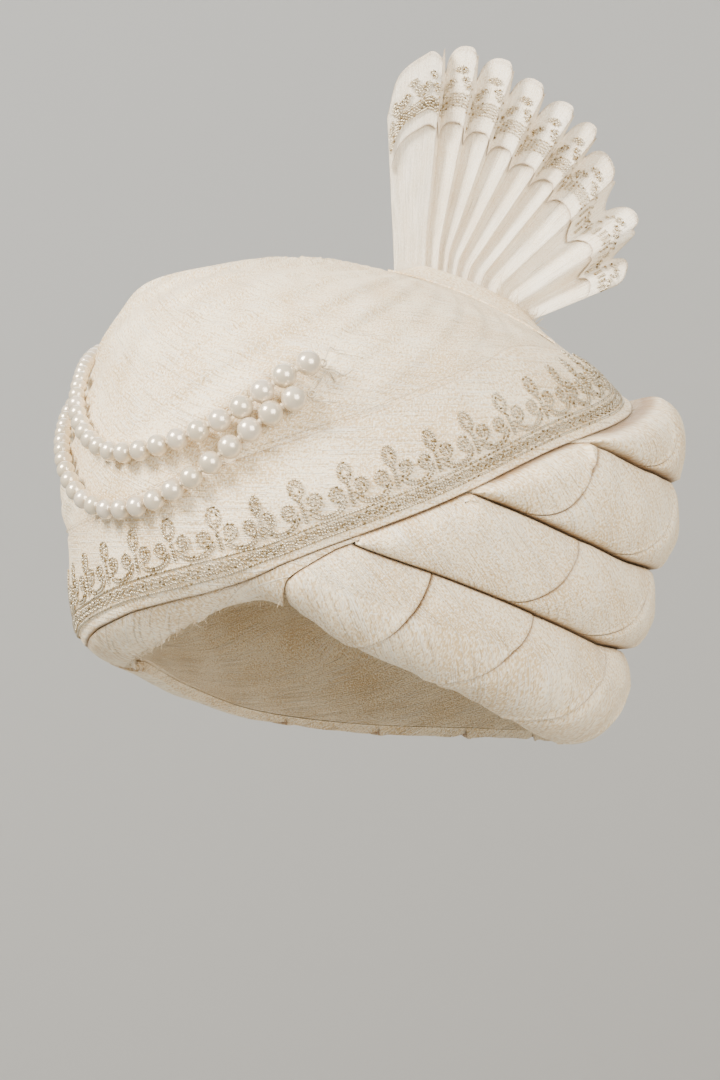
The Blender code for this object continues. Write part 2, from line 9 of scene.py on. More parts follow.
import bmesh
import bpy
import numpy as np
from bpy.props import FloatProperty, FloatVectorProperty, IntProperty, PointerProperty
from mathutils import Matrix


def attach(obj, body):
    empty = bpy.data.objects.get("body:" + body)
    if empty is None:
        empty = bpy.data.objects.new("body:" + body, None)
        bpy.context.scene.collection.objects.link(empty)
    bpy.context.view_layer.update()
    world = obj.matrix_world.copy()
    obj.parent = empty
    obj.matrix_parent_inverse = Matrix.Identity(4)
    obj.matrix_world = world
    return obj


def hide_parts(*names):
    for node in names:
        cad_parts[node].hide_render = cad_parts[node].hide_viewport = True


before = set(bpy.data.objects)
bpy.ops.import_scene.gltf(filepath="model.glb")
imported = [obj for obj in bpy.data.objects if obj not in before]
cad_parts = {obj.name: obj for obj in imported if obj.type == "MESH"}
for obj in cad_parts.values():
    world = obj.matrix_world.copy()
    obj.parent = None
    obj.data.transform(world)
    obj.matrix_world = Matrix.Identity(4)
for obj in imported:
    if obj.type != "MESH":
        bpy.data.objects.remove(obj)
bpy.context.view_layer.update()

bl_info = {
    "name": "Tied Turban",
    "version": (1, 0, 0),
    "blender": (4, 5, 0),
    "location": "View3D > Sidebar > Turban",
    "description": "Makes the cloth, embroidery, pearls and stage of a tied turban",
    "category": "Add Mesh",
}

# The hollow for the head and the wound crown's walls over it.
HEAD_WIDTH = 0.164
HEAD_DEPTH = 0.204
HEAD_TOP = 0.116
HEAD_SIDE = 0.012
HEAD_ROUNDNESS = 2.4
HALF_WIDTH = 0.107
HALF_DEPTH = 0.122
CROWN_TOP = 0.1395
CROWN_LEAN = 0.024
LEAN_TURN = 308.0

# The rolled lower rim, and the height of the lowest cloth over it.
RIM_DROP = 0.066
RIM_ROLL = 0.016
RIM_LIP = 0.002
RIM_GROUND = 0.0027

# The band, its hem and upper crease at their highest, and its thickness.
HEM_HEIGHT = 0.079
CREASE_HEIGHT = 0.100
HIGH_TURN = 127.0
BAND_SEAT = 0.0018
BAND_THICK = 0.0027
BAND_LIFT = 0.0080

# The turned cloth over the rim, from the front to the wearer's right.
ROLL_THICK = 0.0022
ROLL_SHOWN = 0.0070
ROLL_FIRST_TURN = -60.0
PEAK_TURN = 27.0
ROLL_LAST_TURN = 45.0

# The plaited tiers.
TIER_HEIGHT = 0.036
TIER_LEAST = 0.0015
TIER_FULLNESS = 0.028
TIER_NOTCH = 0.005
TIER_TUCK = 2.4
TIER_THIN = 0.0045
TIER_PITCH = 26.0
TIER_STEP = 0.0012
TIER_FIRST_TURN = 30.0
TIER_LAST_TURN = 300.0
TIER_TAPER = 45.0
TIER_SEAT = 0.0021
TIER_GAP = 0.0005

# The pleated fan, its root, its size and its pleats.
FAN_FACING = 38.0
FAN_ROOT_SIDE = 0.0323
FAN_ROOT_BACK = 0.016
FAN_ROOT_HEIGHT = 0.1118
FAN_RADIUS = 0.119
FAN_THICK = 0.0016
PLEAT_DEPTH = 0.010
PLEAT_FOOT = 0.15

# The pearls, from the largest to the smallest, and how far over the crown their thread runs.
LARGE_PEARL = 0.0104
SMALL_PEARL = 0.0068
GRADED = 0.62
PEARL_SEAT = 0.0018

# Crown sections from the top down, as shares of the crown's height, its half sizes and its lean.
CROWN_SECTIONS = (
    # height, reach, lean
    (1.000, 0.000, 0.96),
    (0.985, 0.220, 1.00),
    (0.953, 0.430, 1.00),
    (0.903, 0.595, 0.85),
    (0.830, 0.730, 0.60),
    (0.745, 0.850, 0.35),
    (0.645, 0.945, 0.09),
    (0.500, 1.005, 0.10),
    (0.290, 1.030, 0.20),
    (0.070, 0.998, 0.18),
    (-0.110, 0.965, 0.14),
    (-0.290, 0.955, 0.12),
    (-0.500, 0.940, 0.09),
)

# The rim's drop around the head, as a share of RIM_DROP.
RIM_SECTIONS = (
    # turn, drop
    (-180.0, 1.00),
    (-140.0, 0.98),
    (-108.0, 0.87),
    (-85.0, 0.69),
    (-64.0, 0.52),
    (-45.0, 0.45),
    (-24.0, 0.36),
    (-10.0, 0.25),
    (0.0, 0.155),
    (10.0, 0.07),
    (20.0, 0.02),
    (30.0, 0.08),
    (44.0, 0.29),
    (62.0, 0.49),
    (76.0, 0.64),
    (90.0, 0.79),
    (106.0, 0.92),
    (140.0, 0.99),
    (180.0, 1.00),
)

# The band's edges by the angle away from its highest side, as shares of HEM_HEIGHT and CREASE_HEIGHT.
BAND_SECTIONS = (
    # away, hem, crease
    (0.0, 1.00, 0.97),
    (20.0, 0.88, 1.00),
    (43.0, 0.73, 0.99),
    (65.0, 0.475, 0.83),
    (77.0, 0.35, 0.735),
    (88.0, 0.245, 0.655),
    (100.0, 0.132, 0.572),
    (116.0, 0.040, 0.462),
    (133.0, -0.055, 0.357),
    (147.0, -0.142, 0.285),
    (165.0, -0.235, 0.235),
    (180.0, -0.28, 0.22),
)

# The tiers from the rim up: fullness as a share of TIER_FULLNESS, and the visible seams with the turn
# at their top and the degrees that they sweep forward on the way down.
TIERS = (
    # name, fullness, seams
    ("tier_rim", 0.40, ((59.0, 15.0), (82.0, 18.5), (107.0, 20.0))),
    ("tier_lower", 0.72, ((60.0, 12.0), (89.0, 15.0), (116.0, 21.0))),
    ("tier_upper", 0.92, ((90.0, 15.0), (119.0, 22.0))),
    ("tier_top", 1.00, ((117.0, 16.0),)),
)

# The fan's pleat ridges: lean from upright, and the tip's reach and the foot as shares of FAN_RADIUS.
FAN_RIDGES = (
    # lean, reach, foot side, foot height
    (3.0, 1.000, -0.020, 0.240),
    (10.0, 0.990, 0.020, 0.222),
    (18.0, 0.968, 0.045, 0.205),
    (26.0, 0.935, 0.070, 0.180),
    (34.0, 0.920, 0.105, 0.160),
    (41.0, 0.905, 0.150, 0.140),
    (51.0, 0.845, 0.210, 0.115),
    (64.0, 0.813, 0.280, 0.070),
    (77.0, 0.690, 0.340, 0.020),
)

# The flat panel at the fan's upright end, as shares of FAN_RADIUS.
FAN_PANEL = (
    # tip side, tip height, foot side, foot height
    (-0.150, 0.760, -0.125, 0.205),
    (-0.110, 0.900, -0.090, 0.215),
    (-0.020, 0.975, -0.055, 0.230),
)

# The pearl strands, from the knot over the wearer's left brow round the wearer's right side.
UPPER_STRAND = (
    # turn, height
    (35.8, 0.0898),
    (28.0, 0.0822),
    (21.0, 0.0716),
    (13.0, 0.0630),
    (4.6, 0.0578),
    (-4.0, 0.0550),
    (-12.5, 0.0572),
    (-21.5, 0.0646),
    (-31.0, 0.0760),
    (-42.0, 0.0890),
    (-56.0, 0.0985),
    (-72.0, 0.1030),
    (-90.0, 0.1020),
)
LOWER_STRAND = (
    # turn, height
    (33.2, 0.0772),
    (26.0, 0.0680),
    (19.5, 0.0562),
    (12.6, 0.0453),
    (5.0, 0.0377),
    (-3.5, 0.0342),
    (-11.5, 0.0350),
    (-19.0, 0.0397),
    (-25.5, 0.0471),
    (-34.0, 0.0580),
    (-44.0, 0.0695),
    (-56.0, 0.0810),
    (-72.0, 0.0890),
    (-90.0, 0.0895),
)

# The photograph's view: degrees to the wearer's left of the face.
VIEW_AZIMUTH = 38.0

# Where the crown's folds gather, under the fan's root, and the shares of the crown's grid at which its
# rolled rim and the wall under the band end.
FOLD_CENTRE = (0.022, 0.020)
CROWN_ROLLED = 0.16
CROWN_BANDED = 0.40

# The sinks and rounding of padded cloth: at a tier's seams, at its long edges and along its foot, at the
# front seam, the swell before the rear seam, and the least that cloth stands out.
SEAM_SINK = 0.0013
EDGE_SINK = 0.0024
FOOT_SINK = 0.0014
REAR_SWELL = 0.0006
LEAST_OUT = 0.0009

# The facing on the fan: its start and end as shares of the length, and how far it lies before the leaf.
FACING_FIRST = 0.65
FACING_LAST = 0.985
FACING_OUT = 0.0022

# One column of the fan's embroidery, and the crown's mean radius, for laying patterns out flat.
FAN_COLUMN = 0.010
MEAN_RADIUS = 0.11
TIER_RADIUS = 0.12

MILLIMETRE = 0.001
WELD = 0.00001


# Numbers and tables

def linear(code):
    """An sRGB hex colour as linear red, green and blue."""
    values = [int(code[index:index + 2], 16) / 255 for index in (1, 3, 5)]
    return tuple(value / 12.92 if value <= 0.04045 else ((value + 0.055) / 1.055) ** 2.4 for value in values)


def smooth(share):
    """Ease from 0 to 1 without a corner at either end."""
    share = np.clip(share, 0.0, 1.0)
    return share * share * (3 - 2 * share)


def blend(first, second, share):
    return first + (second - first) * share


def rounded(share):
    """A quarter circle's rise from 0 to 1, for edges that turn under."""
    return np.sqrt(1 - (1 - np.clip(share, 0, 1)) ** 2)


def graded(share, pull=0.62):
    """Crowd grid lines towards both ends, where the cloth turns under."""
    eased = 0.5 - 0.5 * np.cos(math.pi * share)
    return blend(share, eased, pull)


def around(turn, radius=MEAN_RADIUS):
    """The length round the head from the front, for laying patterns out flat."""
    return np.radians(turn) * radius


def run_along(points):
    """The length so far at each of a row of points."""
    return np.concatenate([[0.0], np.cumsum(np.linalg.norm(np.diff(points, axis=0), axis=1))])


def read_at(where, run, rows):
    """Every column of rows at lengths along their run."""
    return np.stack([np.interp(where, run, column) for column in rows.T], axis=1)


def hump(distance, width):
    """A soft bump that is 1 at no distance and fades over a width."""
    return np.exp(-(distance / width) ** 2)


def between(rows, place, column=1):
    """Read a column of a table at places in its first column, along a smooth line through the rows."""
    table = np.array(rows, dtype=float)
    start = table[:, 0]
    value = table[:, column]
    place = np.clip(np.asarray(place, dtype=float), start[0], start[-1])
    slope = np.empty(len(table))
    slope[1:-1] = (value[2:] - value[:-2]) / (start[2:] - start[:-2])
    slope[0] = (value[1] - value[0]) / (start[1] - start[0])
    slope[-1] = (value[-1] - value[-2]) / (start[-1] - start[-2])
    index = np.clip(np.searchsorted(start, place, side="right") - 1, 0, len(table) - 2)
    width = start[index + 1] - start[index]
    share = (place - start[index]) / width
    squared = share ** 2
    cubed = share ** 3
    from_start = value[index] * (2 * cubed - 3 * squared + 1) + value[index + 1] * (3 * squared - 2 * cubed)
    bent = slope[index] * (cubed - 2 * squared + share) + slope[index + 1] * (cubed - squared)
    return from_start + bent * width


def ripple(x, y, length, seed, waves=9):
    """Uneven soft waves about a length apart, between about -1 and 1, the same for the same seed."""
    chance = np.random.default_rng(seed)
    total = 0.0
    for _ in range(waves):
        angle = chance.uniform(0, 2 * math.pi)
        pitch = length * chance.uniform(0.55, 1.8)
        phase = chance.uniform(0, 2 * math.pi)
        total = total + np.sin((x * math.cos(angle) + y * math.sin(angle)) * 2 * math.pi / pitch + phase)
    return total / math.sqrt(waves * 2)


def unit(vectors):
    return vectors / np.maximum(np.linalg.norm(vectors, axis=-1, keepdims=True), 1e-12)


def stack(*parts):
    return np.stack(np.broadcast_arrays(*parts), axis=-1)


# The turban's form

def wrapped(turn):
    return (np.asarray(turn, dtype=float) + 180.0) % 360.0 - 180.0


def away(turn):
    """Degrees between a turn and the band's highest side."""
    return np.abs(wrapped(np.asarray(turn, dtype=float) - HIGH_TURN))


def rim_height(turn):
    return -RIM_DROP * between(RIM_SECTIONS, wrapped(turn))


def hem_height(turn):
    return HEM_HEIGHT * between(BAND_SECTIONS, away(turn), 1)


def crease_height(turn):
    return CREASE_HEIGHT * between(BAND_SECTIONS, away(turn), 2)


def profile_points(steps=24):
    """The crown's sections on a smooth line from its top down, as rows of height, reach and lean."""
    rows = np.array(CROWN_SECTIONS) * (CROWN_TOP, 1.0, CROWN_LEAN)
    mirrored = rows[1] * (1, -1, 1)
    padded = np.vstack([mirrored, rows, rows[-1]])
    t = np.linspace(0, 1, steps, endpoint=False)[:, None]
    parts = []
    for before, here, there, after in zip(padded, padded[1:], padded[2:], padded[3:]):
        parts.append(0.5 * (2 * here + (there - before) * t
                            + (2 * before - 5 * here + 4 * there - after) * t ** 2
                            + (3 * here - before - 3 * there + after) * t ** 3))
    return np.vstack(parts + [rows[-1:]])[::-1]


PROFILE = profile_points()


def section(height):
    """The crown's reach and lean at a height."""
    return (np.interp(height, PROFILE[:, 0], PROFILE[:, 1]), np.interp(height, PROFILE[:, 0], PROFILE[:, 2]))


def oval(turn, half_width, half_depth, height, lean=0.0):
    """A point on an oval around the head's axis."""
    angle = np.radians(turn)
    side = math.radians(LEAN_TURN)
    return stack(half_width * np.sin(angle) + lean * math.sin(side),
                 -half_depth * np.cos(angle) - lean * math.cos(side),
                 height)


def wall_point(turn, rise):
    """The crown's plain surface at a rise above the rim, rolled in at the bottom to the head."""
    base = rim_height(turn) + RIM_GROUND
    height = base + np.maximum(rise, RIM_ROLL)
    reach, lean = section(height)
    outer = oval(turn, HALF_WIDTH * reach, HALF_DEPTH * reach, height, lean)
    angle = math.pi / 2 * np.clip(rise / RIM_ROLL, 0, 1)
    inner = oval(turn, HEAD_WIDTH / 2 + RIM_LIP, HEAD_DEPTH / 2 + RIM_LIP, height)
    share = np.sin(angle)[..., None]
    rolled = inner * (1 - share) + outer * share
    rolled[..., 2] = base + RIM_ROLL * (1 - np.cos(angle))
    return np.where((rise >= RIM_ROLL)[..., None], outer, rolled)


def rise_at(turn, height):
    """The rise at which the crown's plain surface reaches a height."""
    above = np.maximum(height - rim_height(turn) - RIM_GROUND, 0.0)
    low = RIM_ROLL * np.arccos(np.clip(1 - above / RIM_ROLL, -1, 1)) / (math.pi / 2)
    return np.where(above >= RIM_ROLL, above, low)


def wall(turn, rise, out=0.0):
    """The crown's surface moved out along its normal."""
    turn, rise, out = np.broadcast_arrays(np.asarray(turn, float), np.asarray(rise, float), out)
    step = RIM_ROLL / 8
    point = wall_point(turn, rise)
    across = wall_point(turn + 1.0, rise) - wall_point(turn - 1.0, rise)
    up = wall_point(turn, rise + step) - wall_point(turn, np.maximum(rise - step, 0.0))
    return point + unit(np.cross(across, up)) * out[..., None]


def spot(turn, height, out=0.0):
    return wall(turn, rise_at(turn, height), out)


def band_lift(turn):
    """How far the band rides up on the tiers that pass beneath its hem."""
    return BAND_LIFT * (1 - smooth((away(turn) - 15.0) / 75.0))


def band_out(turn, height):
    """How far the band's face stands over the crown's wall."""
    share = (height - hem_height(turn)) / np.maximum(crease_height(turn) - hem_height(turn), MILLIMETRE)
    share = np.clip(share, 0, 1) ** (1 / 1.5)
    return BAND_SEAT + BAND_THICK + band_lift(turn) * (1 - share) ** 1.5


def band_face(turn, height):
    """The band's face as the cloth really lies: it thins to its upper crease, where the crown laps it, and
    has a faint groove above its turned hem."""
    above = height - hem_height(turn)
    below = crease_height(turn) - height
    out = blend(0.0009, band_out(turn, height), smooth(below / 0.030))
    out = out - 0.0003 * hump(above - 0.0031, 0.0007)
    out = out + 0.00025 * ripple(around(turn), height, 0.03, 31)
    return out - 0.0004 * (1 - smooth(below / 0.0015))


def roll_end(turn):
    """The rise at which the rolled cloth ends: the rim's lip, or past the peak a fold below the hem."""
    share = smooth((turn - PEAK_TURN) / 4.0)
    shown = ROLL_SHOWN * np.maximum(1 - (turn - PEAK_TURN) / (ROLL_LAST_TURN - PEAK_TURN), 0.25)
    return blend(0.0, rise_at(turn, hem_height(turn) - shown), share)


def tier_ceiling(turn):
    """The height under which every tier stays: the hem, or the fold of the roll past the peak."""
    top = hem_height(turn) - TIER_GAP
    rise = roll_end(turn)
    curled = RIM_ROLL * (1 - np.cos(math.pi / 2 * np.minimum(rise / RIM_ROLL, 1)))
    fold = rim_height(turn) + RIM_GROUND + np.where(rise >= RIM_ROLL, rise, curled) - TIER_GAP
    return np.where((turn > PEAK_TURN) & (turn <= ROLL_LAST_TURN), fold, top)


def tier_room(turn, tier):
    """The height left for a tier between its foot and the ceiling."""
    return tier_ceiling(turn) - (rim_height(turn) + RIM_GROUND + tier * TIER_HEIGHT)


def tier_span(tier):
    """The turns between which a tier shows below the band."""
    shown = 0.15 * TIER_HEIGHT if tier else 0.0
    turns = np.arange(TIER_FIRST_TURN, TIER_LAST_TURN + 1)
    room = turns[tier_room(turns, tier) >= shown]
    return room[0], room[-1]


def seam_turn(top_turn, sweep, drop):
    """A seam's turn on its way down a tier, from drop 0 at its top to 1 at its foot."""
    return top_turn - sweep * (0.35 * drop + 0.65 * (1 - np.sqrt(np.maximum(1 - drop ** 2, 0.0))))


def tier_seams(tier):
    """Every seam of a tier, the hidden ones at an even pitch, with its two ends."""
    first, last = tier_span(tier)
    seams = [(first, 0.0)]
    seams += [seam for seam in TIERS[tier][2] if seam[0] - seam[1] > first + 3.0]
    while seams[-1][0] + 1.5 * TIER_PITCH < last:
        seams.append((seams[-1][0] + TIER_PITCH, TIERS[tier][2][-1][1]))
    seams.append((last, 0.0))
    return seams


def tier_place(tier, front, rear, u, drop):
    """The turn and rise of a place in a tier's piece."""
    edge = 0.3 * TIER_GAP / HALF_WIDTH * 180.0 / math.pi
    turn = blend(seam_turn(*front, drop) + edge, seam_turn(*rear, drop) - edge, u)
    foot = tier * TIER_HEIGHT + (TIER_GAP if tier else 0.0)
    ceiling = tier_ceiling(turn) - rim_height(turn) - RIM_GROUND
    head = np.minimum((tier + 1) * TIER_HEIGHT, np.maximum(ceiling, foot + TIER_LEAST))
    rise = blend(head, foot, drop)
    curled = rise_at(turn, rim_height(turn) + RIM_GROUND + rise)
    return turn, np.where(rise < RIM_ROLL, curled, rise), head - foot


def tier_growth(turn):
    """Tiers lie flat where they leave the band at the front, and fill out towards the back."""
    return 1 - 0.75 * smooth((away(turn) - 12.0) / 80.0)


def fan_point(side, height, forward):
    """A point in the fan's own upright plane, measured from its root."""
    angle = math.radians(FAN_FACING)
    along = FAN_ROOT_SIDE + side
    ahead = forward - FAN_ROOT_BACK
    return stack(along * math.cos(angle) + ahead * math.sin(angle),
                 along * math.sin(angle) - ahead * math.cos(angle),
                 FAN_ROOT_HEIGHT + height)


def crown_height_at(x, y):
    """The crown's height over a point near its top."""
    low = np.full(np.shape(x), 0.5 * CROWN_TOP)
    high = np.full(np.shape(x), CROWN_TOP)
    side = math.radians(LEAN_TURN)
    for _ in range(30):
        height = (low + high) / 2
        reach, lean = section(height)
        across = (x - lean * math.sin(side)) / np.maximum(HALF_WIDTH * reach, WELD)
        along = (y + lean * math.cos(side)) / np.maximum(HALF_DEPTH * reach, WELD)
        outside = across ** 2 + along ** 2 > 1
        high = np.where(outside, height, high)
        low = np.where(outside, low, height)
    return low + MILLIMETRE


# Making and declaring pieces

def tidy(name, mesh, stuff, angle=50.0):
    """Put a mesh into the scene with its material, smooth but for its sharp edges."""
    piece = bpy.data.objects.new(name, mesh)
    mesh.materials.append(stuff)
    mesh.shade_smooth()
    mesh.set_sharp_from_angle(angle=math.radians(angle))
    bpy.context.scene.collection.objects.link(piece)
    return piece


def belong(piece, slot, *nodes):
    """Make a piece ride with the turban and stand for CAD nodes, whose solids it hides. Its slot is not used.
    """
    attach(piece, "root")
    if nodes:
        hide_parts(*nodes)
    return piece


def cloth(name, outer, inner, columns, rows, chart, stuff, ring=False, wear_and_painted_shade=None):
    """A closed layer of cloth: a grid laid on its outer face, and its extrusion laid on its inner face.
    The chart gives each place on the grid its place on the flat cloth, in metres, as the UV map. An optional
    function gives how much painted shade browns the cloth there, along its folds, seams and edges, from 0 to
    1, kept as the attribute 'edge'."""
    model = bmesh.new()
    edge = model.verts.layers.float.new("edge")
    across = model.verts.layers.float.new("across")
    along = model.verts.layers.float.new("along")
    bmesh.ops.create_grid(model, x_segments=columns, y_segments=rows, size=0.5)
    verts = list(model.verts)
    places = np.clip(np.array([vert.co[:2] for vert in verts]) + 0.5, 0.0, 1.0)
    laid = outer(places[:, 0], places[:, 1])
    flat = chart(places[:, 0], places[:, 1])
    # Painted shade along the folded edges, from 0 to 1; the lining below gets none.
    brown = np.zeros(len(verts)) if wear_and_painted_shade is None else wear_and_painted_shade(places[:, 0], places[:, 1])
    for vert, place, point, share in zip(verts, places, laid, brown):
        vert[across] = place[0]
        vert[along] = place[1]
        vert[edge] = share
        vert.co = point
    model.verts.index_update()
    pattern = model.loops.layers.uv.new("cloth")
    for face in model.faces:
        for loop in face.loops:
            loop[pattern].uv = flat[loop.vert.index]
    if ring:
        bmesh.ops.remove_doubles(model, verts=model.verts, dist=WELD)
    made = bmesh.ops.extrude_face_region(model, geom=list(model.faces))
    lining = [item for item in made["geom"] if isinstance(item, bmesh.types.BMVert)]
    places = np.array([(vert[across], vert[along]) for vert in lining])
    under = inner(places[:, 0], places[:, 1])
    gaps = np.linalg.norm(under - outer(places[:, 0], places[:, 1]), axis=1)
    for vert, point, gap in zip(lining, under, gaps):
        vert.co = point
        vert[edge] = 0.0
        # The weave runs on over the layer's side by its thickness.
        for loop in vert.link_loops:
            flat_place = loop[pattern].uv
            loop[pattern].uv = (flat_place.x + gap, flat_place.y + gap)
    bmesh.ops.recalc_face_normals(model, faces=model.faces)
    mesh = bpy.data.meshes.new(name)
    model.to_mesh(mesh)
    model.free()
    return tidy(name, mesh, stuff)


def copies(name, template, centres, forward, out, sizes, stuff, angle=180.0):
    """Repeat one small modelled shape at many places. Its X follows forward, its Z points out, and sizes
    are its lengths along X, Y and Z."""
    mesh = template.data
    count = len(mesh.vertices)
    shape = np.empty(count * 3)
    mesh.vertices.foreach_get("co", shape)
    shape = shape.reshape(-1, 3)
    faces = [tuple(face.vertices) for face in mesh.polygons]
    forward = unit(forward)
    beside = unit(np.cross(out, forward))
    upward = np.cross(forward, beside)
    turned = np.stack([forward, beside, upward], axis=1)
    scaled = shape[None, :, :] * sizes[:, None, :]
    points = centres[:, None, :] + np.einsum("nvi,nij->nvj", scaled, turned)
    every = [tuple(corner + index * count for corner in face)
             for index in range(len(centres)) for face in faces]
    made = bpy.data.meshes.new(name)
    made.from_pydata(points.reshape(-1, 3), [], every)
    made.update()
    shade = made.attributes.new("tone", "FLOAT", "POINT")
    chance = np.random.default_rng(len(centres)).random(len(centres))
    # Every second copy gets a lower tone. On the zari that darkens every second stitch, partly as tarnish and
    # partly as painted shade for the gaps between stitches; on the pearls it only lessens the overtone.
    tones = np.where(np.arange(len(centres)) % 2 == 0, 0.35 + 0.65 * chance, 0.05 + 0.5 * chance)
    shade.data.foreach_set("value", np.repeat(tones, count))
    bpy.data.objects.remove(template, do_unlink=True)
    return tidy(name, made, stuff, angle)


def bead(segments, rings):
    """A small ball of diameter 1, to be copied."""
    bpy.ops.object.select_all(action="DESELECT")
    bpy.ops.mesh.primitive_uv_sphere_add(segments=segments, ring_count=rings, radius=0.5)
    return bpy.context.object


def strands(name, routes, thick, stuff, sides=4):
    """Thin threads as closed tubes along their routes."""
    points = []
    faces = []
    for route in routes:
        route = np.asarray(route)
        forward = unit(np.gradient(route, axis=0))
        beside = unit(np.cross(forward, (0.31, 0.17, 0.93)))
        upward = np.cross(forward, beside)
        first = len(points)
        taper = np.ones(len(route))
        taper[[0, -1]] = 0.4
        for centre, side, rise, share in zip(route, beside, upward, taper):
            for step in range(sides):
                angle = 2 * math.pi * step / sides
                points.append(centre + (side * math.cos(angle) + rise * math.sin(angle)) * thick / 2 * share)
        for ring in range(len(route) - 1):
            for step in range(sides):
                here = first + ring * sides
                after = (step + 1) % sides
                faces.append((here + step, here + after, here + sides + after, here + sides + step))
        last = first + (len(route) - 1) * sides
        faces.append(tuple(range(first, first + sides))[::-1])
        faces.append(tuple(range(last, last + sides)))
    mesh = bpy.data.meshes.new(name)
    mesh.from_pydata(points, [], faces)
    mesh.update()
    return tidy(name, mesh, stuff, 180.0)


# Materials

def add(tree, kind, settings=None, out=0, **links):
    """Add one node with its settings, link the named inputs to other nodes' outputs, and give its output."""
    made = tree.nodes.new("ShaderNode" + kind)
    for key, value in (settings or {}).items():
        if isinstance(key, str) and hasattr(made, key):
            setattr(made, key, value)
        else:
            made.inputs[key].default_value = value
    for key, source in links.items():
        target = made.inputs[int(key[1:])] if key[0] == "i" and key[1:].isdigit() else made.inputs[key]
        tree.links.new(source, target)
    return made.outputs[out]


def new_material(name):
    made = bpy.data.materials.new(name)
    made.use_nodes = True
    return made, made.node_tree


def surfaced(material, settings, sources):
    """Give the material's surface its plain settings, and link outputs to its other inputs."""
    tree = material.node_tree
    inputs = tree.nodes["Principled BSDF"].inputs
    for key, value in settings.items():
        inputs[key].default_value = value
    for key, source in sources.items():
        tree.links.new(source, inputs[key])
    return material


def opaque(colour):
    return (*colour, 1.0)


def raw_silk(name, light, shade, slant=0.0, grain=1.0):
    """Dupioni silk, hand-reeled and plain-woven: uneven weft threads leave short raised slubs, the crossing
    threads give a dry grain with small painted glints, and folds, seams and creases get painted shade in
    brown."""
    made, tree = new_material(name)
    flat = add(tree, "TexCoord", out="UV")
    flat = add(tree, "Mapping", {"Rotation": (0.0, 0.0, math.radians(slant))}, Vector=flat)
    # Slubs are 0.3 mm thick and 10 to 30 mm long in the real cloth, and drawn 0.7 mm thick so that they show.
    # Weft threads are 0.2 mm and warp threads 0.15 mm apart, and both are drawn 0.6 mm apart for the same
    # reason. Each row is the noise's size along and across the weft, and its detail.
    threads = []
    for along, across, detail in ((0.028, 0.0007, 0.0), (0.0024, 0.0006, 1.0), (0.0006, 0.0020, 1.0)):
        lay = add(tree, "Mapping", {"Scale": (1 / along, 1 / across, 1.0)}, Vector=flat)
        threads.append(add(tree, "TexNoise", {"Scale": 1.0, "Detail": detail}, Vector=lay))
    slub, weft, warp = threads
    slub_step = add(tree, "MapRange", {"From Min": 0.63, "From Max": 0.72}, Value=slub)
    # Between slubs, lean weft threads leave thin dark lines of the same size.
    lean_step = add(tree, "MapRange", {"From Min": 0.35, "From Max": 0.26}, Value=slub)
    # The dry grain of crossing threads, drawn 1 mm across.
    speck = add(tree, "TexNoise", {"Scale": 1 / 0.0010, "Detail": 2.0, "Roughness": 0.6}, Vector=flat)
    # Faint cloudy tone from handling, 25 mm across.
    cloud = add(tree, "TexNoise", {"Scale": 1 / 0.025, "Detail": 3.0}, Vector=flat)
    # Glints where a flat filament catches the light, drawn 0.8 mm across.
    glint = add(tree, "TexNoise", {"Scale": 1 / 0.0008, "Detail": 0.0}, Vector=flat)
    glint_step = add(tree, "MapRange", {"From Min": 0.60, "From Max": 0.70, "To Max": 0.85}, Value=glint)
    # Neps, the small dark specks of raw fibre, a few to the square centimetre.
    nep = add(tree, "TexVoronoi", {"Scale": 1 / 0.0055}, Vector=flat)
    nep_step = add(tree, "MapRange", {"From Min": 0.04, "From Max": 0.11, "To Min": 0.45, "To Max": 0.0},
                   Value=nep)
    woven = add(tree, "Math", {"operation": "ADD"}, i0=weft, i1=warp)
    grained = add(tree, "Math", {"operation": "MULTIPLY_ADD", 1: 0.35}, i0=woven, i2=speck)
    clouded = add(tree, "Math", {"operation": "MULTIPLY_ADD", 1: 0.5}, i0=cloud, i2=grained)
    tone = add(tree, "MapRange", {"From Min": 0.99, "From Max": 1.19}, Value=clouded)
    colour = add(tree, "Mix", {"data_type": "RGBA", 6: opaque(shade), 7: opaque(light)}, out=2, i0=tone)
    thin = add(tree, "Math", {"operation": "MULTIPLY", 1: 0.45}, i0=lean_step)
    dark = add(tree, "Math", {"operation": "MAXIMUM"}, i0=nep_step, i1=thin)
    slub_share = add(tree, "Math", {"operation": "MULTIPLY", 1: 0.5}, i0=slub_step)
    bright = add(tree, "Math", {"operation": "MAXIMUM"}, i0=slub_share, i1=glint_step)
    # The attribute 'edge' holds painted shade: how far folds, seams and creases are tinted brown.
    edge = add(tree, "Attribute", {"attribute_name": "edge"}, out="Fac")
    # Dark flecks, then bright slubs and painted glints, then painted brown shade along folds, seams and
    # creases are laid over one another.
    for share, code in ((dark, "#8A7048"), (bright, "#FFF8E8"), (edge, "#7A5630")):
        colour = add(tree, "Mix", {"data_type": "RGBA", 7: opaque(linear(code))}, out=2, i0=share, i6=colour)
    height = add(tree, "Math", {"operation": "MULTIPLY_ADD", 1: 0.3}, i0=slub_step, i2=grained)
    raised = add(tree, "Bump", {"Strength": 1.0, "Distance": 0.00060 * grain}, Height=height)
    wear_and_painted_shade = add(tree, "MapRange", {"From Min": 0.6, "From Max": 1.1, "To Min": 0.70, "To Max": 0.40},
               Value=grained)
    return surfaced(made, {"Sheen Weight": 0.15, "Sheen Roughness": 0.35,
                           "Sheen Tint": opaque(linear("#FFE9C8")), "Specular IOR Level": 0.45, "IOR": 1.54},
                    {"Base Color": colour, "Normal": raised, "Roughness": wear_and_painted_shade})


